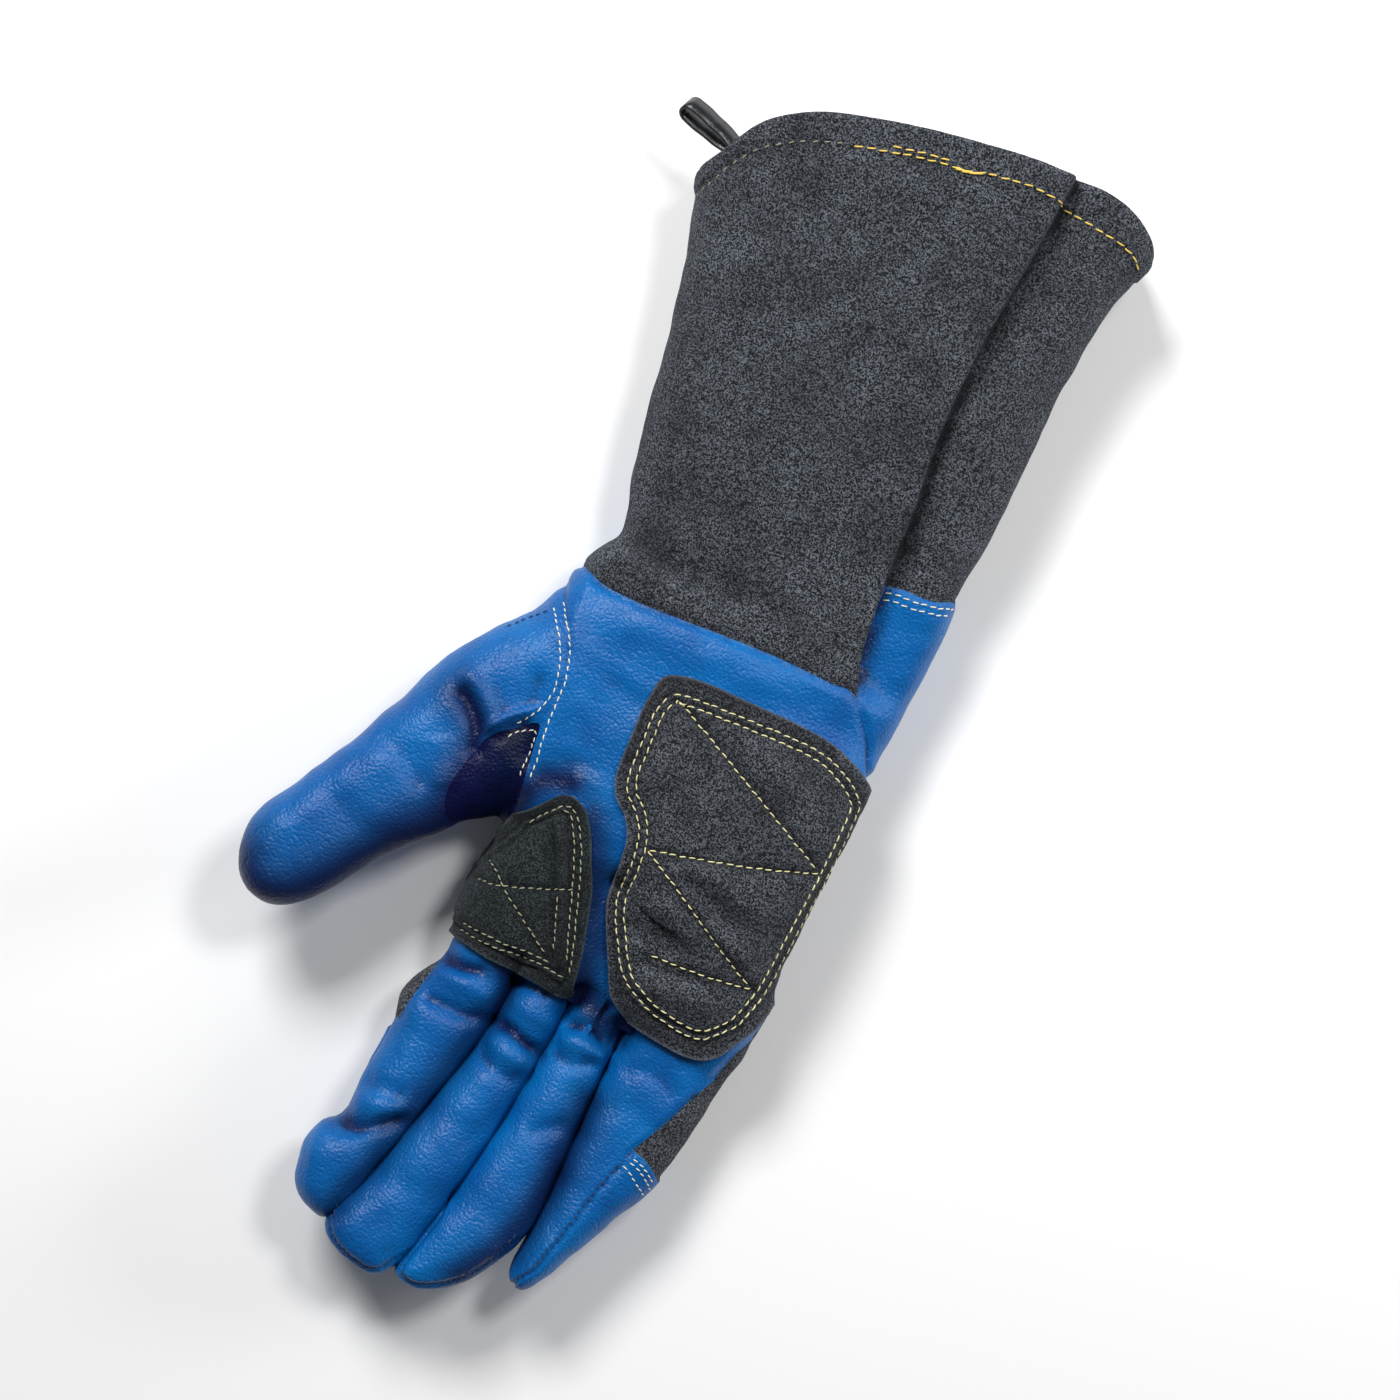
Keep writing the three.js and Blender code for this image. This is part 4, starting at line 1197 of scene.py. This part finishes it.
def inflate(name, start, t, pinned, most):
    """Settles a pinned sheet under pressure by cloth simulation. Its points move no further than most."""
    obj = make_mesh(name + "_blank", start, t.tolist())
    group = obj.vertex_groups.new(name="sewn")
    group.add(np.flatnonzero(pinned).tolist(), 1.0, "REPLACE")
    cloth = obj.modifiers.new("cloth", "CLOTH").settings
    cloth.quality = 6
    cloth.mass = 0.004
    cloth.tension_stiffness = 8
    cloth.compression_stiffness = 5
    cloth.shear_stiffness = 4
    cloth.bending_stiffness = 0.15
    cloth.use_pressure = True
    cloth.uniform_pressure_force = 6
    cloth.effector_weights.gravity = 0
    cloth.vertex_group_mass = "sewn"
    scene = bpy.context.scene
    for f in range(1, CLOTH_FRAMES + 1):
        scene.frame_set(f)
    seen = obj.evaluated_get(bpy.context.evaluated_depsgraph_get())
    co = np.empty(len(start) * 3, np.float32)
    seen.data.vertices.foreach_get("co", co)
    moved = co.reshape(-1, 3) * 1000 - (0, ORIGIN_BELOW_WRIST, 0) - start
    bpy.data.objects.remove(obj)
    scene.frame_set(1)
    length = np.maximum(np.linalg.norm(moved, axis=1, keepdims=True), 1e-9)
    return start + moved * np.minimum(1, most / length)


def over_palm_edge(v):
    return np.minimum(v[:, 2] - SLEEVE_TOP(v[:, 1]) * 0.5 - 4, 40)


def over_index_edge(v):
    return np.minimum(np.minimum(v[:, 2] - 9, 40), outline_distance(THUMB_SIDE, v[:, 0], v[:, 1]) - 1.5)


PAD_ROWS = (4.0, 7.0)
PATCH_ROWS = (3.8, 6.2)
PIPING = curve([
    (-32.1, -79), (-26, -89.2), (-20.4, -99.7), (-15.1, -110.3), (-9.7, -120.9), (-5.7, -129.5),
])
PAD_FOLDS = [
    ([(14, -79.5), (24, -80.5), (34, -83), (46, -88)], -1.9, 3.2),
    ([(12, -74), (20, -72), (37, -76), (50, -80)], 1.1, 3.6),
    ([(5, -77.5), (10, -76), (15, -74)], -1.0, 2.4),
    ([(30, -88), (40, -92), (52, -94)], 1.2, 3.6),
    ([(2, -103), (12, -103.5), (21, -103), (31, -100.5)], -2.2, 3.4),
    ([(4, -92), (14, -92), (27, -94), (36, -99)], 1.3, 4.2),
    ([(12, -113), (24, -112.5), (38, -109), (46, -107)], -1.3, 2.8),
    ([(20, -117), (30, -118), (43, -115), (52, -110)], 1.1, 3.8),
    ([(-12, -52), (2, -50), (16, -54)], 0.9, 6),
    ([(2, -60), (18, -64), (32, -63)], -0.8, 5),
    ([(20, -28), (36, -34), (52, -44)], 0.9, 6),
    ([(-2, -38), (4, -52), (2, -66)], -0.7, 5),
]
quilted("palm_pad_quilt", ["palm_pad_cover", "palm_pad_foam"],
        PAD, PAD_ZIGZAG, over_palm_edge, SUEDE, 3.4, PAD_ROWS, pad_margin, PAD_FOLDS)
quilted("crotch_patch_quilt", ["crotch_patch_cover", "crotch_patch_foam"],
        PATCH, PATCH_CROSS, over_index_edge, PATCH_SUEDE, 2.2, PATCH_ROWS, ribs=[(PIPING, 1.5, 1.9)])


# ---------- stitching ----------
def faces_of(objects):
    """A search tree of the objects' faces, in mm, for laying thread on them."""
    verts, faces, base = [], [], 0
    for o in objects:
        co = np.empty(len(o.data.vertices) * 3, np.float32)
        o.data.vertices.foreach_get("co", co)
        verts.append(co.reshape(-1, 3) * 1000 - (0, ORIGIN_BELOW_WRIST, 0))
        faces += [[i + base for i in p.vertices] for p in o.data.polygons]
        base += len(o.data.vertices)
    return BVHTree.FromPolygons(np.vstack(verts).tolist(), faces)


def lay(tree, line, side):
    """A plan line laid on the surface from above (side 1) or below (side -1): points and normals."""
    points, normals = [], []
    for a, b in line[:, :2]:
        hit, normal, _, _ = tree.ray_cast(Vector((a, b, 100 * side)), Vector((0, 0, -side)))
        if hit is not None:
            points.append(hit)
            normals.append(normal * (side if normal.z > 0 else -side))
    return np.array(points), np.array(normals)


RINGS, SIDES = 7, 7  # rings of points along a stitch, and points round it


def thread_tube(centre, ahead, sideways, upward, radius, u):
    """A stitch's points and faces: a tube that thins towards its ends, with a point at each end."""
    thick = radius * (1 - 0.45 * np.abs(u) ** 3)
    angle = np.linspace(0, 2 * math.pi, SIDES, endpoint=False)
    ring = sideways * np.cos(angle)[:, None] + upward * np.sin(angle)[:, None]
    v = (centre[:, None] + ring[None] * thick[:, None, None]).reshape(-1, 3)
    v = np.vstack([v, centre[0] - ahead * radius * 0.5, centre[-1] + ahead * radius * 0.5])
    f = []
    for r in range(RINGS - 1):
        for c in range(SIDES):
            d = (c + 1) % SIDES
            f.append([r * SIDES + c, r * SIDES + d, (r + 1) * SIDES + d, (r + 1) * SIDES + c])
    last = (RINGS - 1) * SIDES
    for c in range(SIDES):
        d = (c + 1) % SIDES
        f.append([RINGS * SIDES, d, c])
        f.append([RINGS * SIDES + 1, last + c, last + d])
    return v, f


def stitches(name, lines, material, bend, pitch=3.5, length=2.6, radius=0.31, sink=0.12, side=1):
    """Rows of stitches, each one a short length of thread that dips into the leather at both ends."""
    parts = []
    u = np.linspace(-1, 1, RINGS)
    for line in lines:
        p, n = lay(tree, curve(line, spacing=0.5), side)
        if len(p) < 8:
            continue
        step = np.linalg.norm(np.diff(p, axis=0), axis=1)
        far = np.concatenate([[0], np.cumsum(np.minimum(step, 4))])
        for k in range(int(far[-1] // pitch)):
            at = (k + 0.5) * pitch + 0.16 * math.sin(k * 2.7) + 0.1 * math.sin(k * 7.1)
            s = at + np.linspace(-length / 2, length / 2, RINGS)
            if s[0] < 0 or s[-1] > far[-1]:
                continue
            centre = np.stack([np.interp(s, far, p[:, i]) for i in range(3)], 1)
            up = np.array([np.interp(at, far, n[:, i]) for i in range(3)])
            up /= max(np.linalg.norm(up), 1e-9)
            chord = centre[0] + (centre[-1] - centre[0]) * ((u + 1) / 2)[:, None]
            rise = np.maximum(((centre - chord) @ up).max(), 0)
            centre = chord + up * (rise + radius * (1 - 1.5 * u**4) - sink)[:, None]
            ahead = centre[-1] - centre[0]
            if np.linalg.norm(ahead) > length * 1.8:
                continue
            ahead /= max(np.linalg.norm(ahead), 1e-9)
            sideways = np.cross(up, ahead)
            sideways /= max(np.linalg.norm(sideways), 1e-9)
            slant = 0.16 + 0.08 * math.sin(k * 3.3)
            centre = centre + sideways * (0.12 * math.sin(k * 1.9) + slant * u[:, None])
            parts.append(thread_tube(centre, ahead, sideways, np.cross(ahead, sideways), radius, u))
    obj = join(name, parts)
    dress(obj, material)
    attach(obj, bend)


def closed(line):
    return np.vstack([line, line[:1]])


tree = faces_of(shown)
THUMB_SEAM_ROWS = dict(pitch=2.9, length=2.1, radius=0.27)
pad_rows = [closed(inset(PAD, r + pad_margin(*PAD.T)[:, None])) for r in PAD_ROWS]

stitches("palm_pad_edge_stitches", pad_rows, YELLOW_THREAD, "hand", radius=0.27)
stitches("palm_pad_quilting_stitches", PAD_ZIGZAG, YELLOW_THREAD, "hand", radius=0.27)
patch_rows = [
    [(-41, -88), (-36, -80.5), (-30.6, -75.5), (-25.7, -78.3), (-20.2, -86.2), (-15.2, -96.9),
     (-10.7, -107.9), (-6.1, -119), (-2.7, -129.2)],
    [(-32.4, -77.5), (-29, -78), (-26.5, -80.8), (-21.8, -88.5), (-17, -98.7), (-12.7, -109),
     (-8.4, -119.3), (-5, -127.5)],
    [(-19.5, -105.5), (-17.5, -110.2), (-14.1, -117.8), (-10.4, -126.6)],
    [(-45.4, -131.1), (-37.6, -130.6), (-28.3, -130.3), (-18.4, -128.8), (-9, -128.8)],
    [(-45.3, -133.7), (-37.3, -133.5), (-27.8, -132.7), (-18.6, -131.2), (-11.1, -130.8), (-3.5, -131.3)],
]
PATCH_STITCH = dict(pitch=3.1, length=2.2, radius=0.25)
stitches("crotch_patch_edge_stitches", patch_rows, DULL_AND_SHADED_THREAD, "hand", **PATCH_STITCH)
stitches("crotch_patch_quilting_stitches", PATCH_CROSS, DULL_AND_SHADED_THREAD, "hand", **PATCH_STITCH)
hem_front = [
    (-51.6, 176.7), (-38.6, 181), (-25.3, 184.9), (-14, 187.2), (-5, 190), (4.4, 192.3), (11.6, 193.4),
    (17.7, 193.8), (23, 193.6), (32.9, 192.9), (42.4, 192.5), (50.3, 192), (55.9, 190.4), (59.6, 186.9),
]
hem_left = [
    (-93.5, 138.7), (-90.9, 143.9), (-85.7, 154.4), (-80.3, 161.4), (-72.1, 167.7), (-60.9, 173.6),
    (-52, 176.6),
]
doubled = [(-39.6, 183), (-34.1, 184.1), (-26.8, 186.4), (-21.1, 187.2), (-14, 188.8)]
knot = [(-18, 185.9), (-12.9, 187.1), (-7, 189), (-5, 189.7)]
HEM_ROWS = dict(pitch=4.4, length=3.3, radius=0.34)
stitches("hem_stitches", [hem_front, doubled], GOLD_THREAD, CUFF_BEND, **HEM_ROWS)
stitches("hem_backtack_stitches", [knot], GOLD_THREAD, CUFF_BEND, pitch=2.4, length=3.6, radius=0.5)
# painted shade: this row's thread is darkened for the shade on the hem's left side
stitches("hem_side_stitches", [hem_left], DULL_AND_SHADED_THREAD, CUFF_BEND, pitch=4.4, length=2.2, radius=0.22)
thumb_right = [
    (-67.4, -12), (-63, -17.8), (-58, -24), (-54.6, -31.4), (-52.7, -38), (-52, -46), (-51.2, -53.5),
    (-50, -60.5), (-48.5, -68), (-48, -74),
]
thumb_left = [
    (-69.5, -15.5), (-65.3, -20.4), (-60.6, -26.5), (-57.4, -33), (-55.6, -38.5), (-55, -44),
    (-56.6, -50.3), (-59.5, -56), (-63.2, -60),
]
stitches("thumb_seam_palm_stitches", [thumb_right], CREAM_THREAD, "hand", **THUMB_SEAM_ROWS)
stitches("thumb_seam_thumb_stitches", [thumb_left], CREAM_THREAD, THUMB_BEND, **THUMB_SEAM_ROWS)
gusset_rows = [[
    (-62, -64.3), (-60.2, -61.6), (-57, -58.8), (-54, -57.6), (-53, -60.6), (-52.4, -65), (-52, -71),
    (-51.6, -75),
]]
stitches("thumb_gusset_stitches", gusset_rows, CREAM_THREAD, THUMB_BEND, pitch=2.6, length=1.9, radius=0.24)
thumb_top = [(-70.5, -17.5), (-76, -23.5), (-83, -32)]
stitches("thumb_top_seam_stitches", [thumb_top], BLUE_THREAD, THUMB_BEND, pitch=2.8, length=2)
band_rows = [
    [(32.5, 44.6), (38, 46), (45, 46.8), (52, 48.7), (58, 51.3)],
    [(33, 42), (38, 43.4), (45, 44.2), (52, 46.1), (58.3, 48.6)],
]
stitches("wrist_band_stitches", band_rows, CREAM_THREAD, CUFF_BEND, pitch=3.4, length=2.5, radius=0.27)
cap_rows = [
    [(46.5, -180.8), (51.9, -183.4), (58.5, -188)], [(48, -178.6), (54.5, -180.9), (59.8, -185.3)],
    [(48.4, -176.9), (55, -179), (59.6, -182.8)],
]
stitches("little_cap_stitches", cap_rows, CREAM_THREAD, finger_bend("little"),
         pitch=2.8, length=2, radius=0.25)
tip_rows = {
    "little": [(LITTLE_SEAM(b) - 1.3, b) for b in np.arange(-235, -176, 4.0)],
    "middle": [(-37.6, -240), (-36.4, -246.5), (-33, -250.6), (-28, -253), (-20, -254.8), (-14, -254.2)],
    "ring": [
        (-6.4, -247.5), (-4.6, -251), (0, -252.2), (4, -250.4), (8.2, -247.8), (12, -244.4),
        (15.6, -239.8), (19.4, -233.4), (22.2, -227.2), (24.4, -219),
    ],
}
for name, line in tip_rows.items():
    stitches(name + "_tip_seam_stitches", [line], BLUE_THREAD, finger_bend(name),
             pitch=2.6, length=2.0, radius=0.26)


# ---------- rows of stitches on the back of the hand ----------
def row_across(y, x0, x1):
    """A line across the glove at y, a number or a function of x."""
    return [(x, y(x) if callable(y) else y) for x in np.linspace(x0, x1, 9)]


UNDER = dict(side=-1, sink=0.36, pitch=3.2, length=2.3, radius=0.27)
CAP_SPANS = {"index": (-48, -26), "middle": (-19, -3), "ring": (5, 23), "little": (31, 46)}
band_back = [row_across(lambda x: BAND_TOP(x) - below, -60, 56) for below in (2, 4.6)]
stitches("wrist_band_back_stitches", band_back, CREAM_THREAD, CUFF_BEND, **UNDER)
stitches("wrist_band_low_stitches", [row_across(BAND_LOW_Y + 2, -50, 54)], CREAM_THREAD, CUFF_BEND, **UNDER)
for name, (x0, x1) in CAP_SPANS.items():
    cap_back = [row_across(lambda x: cap_line(name, np.array(x)) - below, x0, x1) for below in (2, 4.4)]
    stitches(name + "_cap_back_stitches", cap_back, CREAM_THREAD, finger_bend(name), **UNDER)


# ---------- hang loop ----------
STRIP_SECTION = [
    (-1, -0.4), (-0.96, -1), (0, -1.06), (0.96, -1), (1, -0.4), (1, 0.4), (0.96, 1), (0, 1.06), (-0.96, 1),
    (-1, 0.4),
]


def ribbon(path, across, width, thick):
    """A flat strip swept along a path of points; across is the direction of its width."""
    p = np.array(path, float)
    ahead = unit(np.gradient(p, axis=0))
    across = np.array(across, float) / np.linalg.norm(across)
    up = np.cross(ahead, across)
    corners = []
    for a, b in STRIP_SECTION:
        corners.append(p + across * (a * width / 2) + up * (b * thick / 2))
    v = np.stack(corners, 1).reshape(-1, 3)
    k = len(STRIP_SECTION)
    f = []
    for r in range(len(p) - 1):
        for c in range(k):
            d = (c + 1) % k
            f.append([r * k + c, (r + 1) * k + c, (r + 1) * k + d, r * k + d])
    f.append(list(range(k)))
    f.append([(len(p) - 1) * k + c for c in reversed(range(k))])
    return v, f


def hang_loop():
    """A strip doubled back on itself. Its two ends run in under the hem and are sewn there."""
    root = np.array([-90.5, 160.6, 36.0])
    out = np.array([-0.973, 0.23, 0.0])
    reach, eye = 22.0, 2.9
    side = [(-3.2 + 2.5 * k, eye + 0.3 * math.sin(k)) for k in range(8)]
    bend = [(reach - eye + eye * math.sin(a), eye * math.cos(a)) for a in np.linspace(0, math.pi, 14)]
    back = [(a, -b) for a, b in reversed(side)]
    twist = math.radians(40)
    flat = np.cross(out, (0, 0, 1.0))
    apart = math.cos(twist) * np.array([0, 0, 1.0]) + math.sin(twist) * flat
    across = math.cos(twist) * flat - math.sin(twist) * np.array([0, 0, 1.0])
    path = [root + out * a + apart * b * (0.35 + 0.65 * ease((a + 2) / 10)) for a, b in side + bend + back]
    dense = curve(path, spacing=0.8)
    v, f = ribbon(dense, across, 7.4, 1.3)
    obj = make_mesh("hang_loop_strip", v, f)
    dress(obj, TRIM)
    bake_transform(obj)
    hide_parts("hang_loop")


hang_loop()


# ---------- floor, light and camera ----------
def floor():
    m = Nodes("pale_floor")
    m.shader.inputs["Base Color"].default_value = (0.94, 0.94, 0.94, 1)
    m.shader.inputs["Roughness"].default_value = 0.9
    size = 3.0
    mesh = bpy.data.meshes.new("floor")
    under = -0.0003  # just below the thread on the glove's underside
    corners = [(-size, -size, under), (size, -size, under), (size, size, under), (-size, size, under)]
    mesh.from_pydata(corners, [], [(0, 1, 2, 3)])
    mesh.materials.append(m.material)
    obj = bpy.data.objects.new("floor", mesh)
    bpy.context.scene.collection.objects.link(obj)


def area_light(name, place, aim, size, power, color=(1, 1, 1)):
    light = bpy.data.lights.new(name, "AREA")
    light.shape = "RECTANGLE"
    light.size, light.size_y = size
    light.energy = power
    light.color = color
    obj = bpy.data.objects.new(name, light)
    bpy.context.scene.collection.objects.link(obj)
    obj.location = place
    obj.rotation_euler = (Vector(aim) - Vector(place)).to_track_quat("-Z", "Y").to_euler()


floor()
area_light("key", (-0.85, 0.75, 1.15), (0, 0.02, 0.02), (0.6, 0.45), 23)
area_light("top", (0.3, 0.8, 1.35), (0, -0.02, 0.02), (0.34, 0.26), 9)
area_light("side", (1.0, 0.8, 0.55), (0, 0, 0.02), (0.5, 0.35), 7)
world = bpy.data.worlds.new("studio")
world.use_nodes = True
world.node_tree.nodes["Background"].inputs["Color"].default_value = (1, 1, 1, 1)
world.node_tree.nodes["Background"].inputs["Strength"].default_value = 0.13
bpy.context.scene.world = world
bpy.context.scene.view_settings.view_transform = "Standard"

camera = bpy.data.objects.new("camera", bpy.data.cameras.new("camera"))
bpy.context.scene.collection.objects.link(camera)
camera.data.lens = 85
camera.data.sensor_width = 36
camera.location = (-0.0075, 0.0397, 1.22)
camera.rotation_euler = (0, 0, math.radians(28))
bpy.context.scene.camera = camera
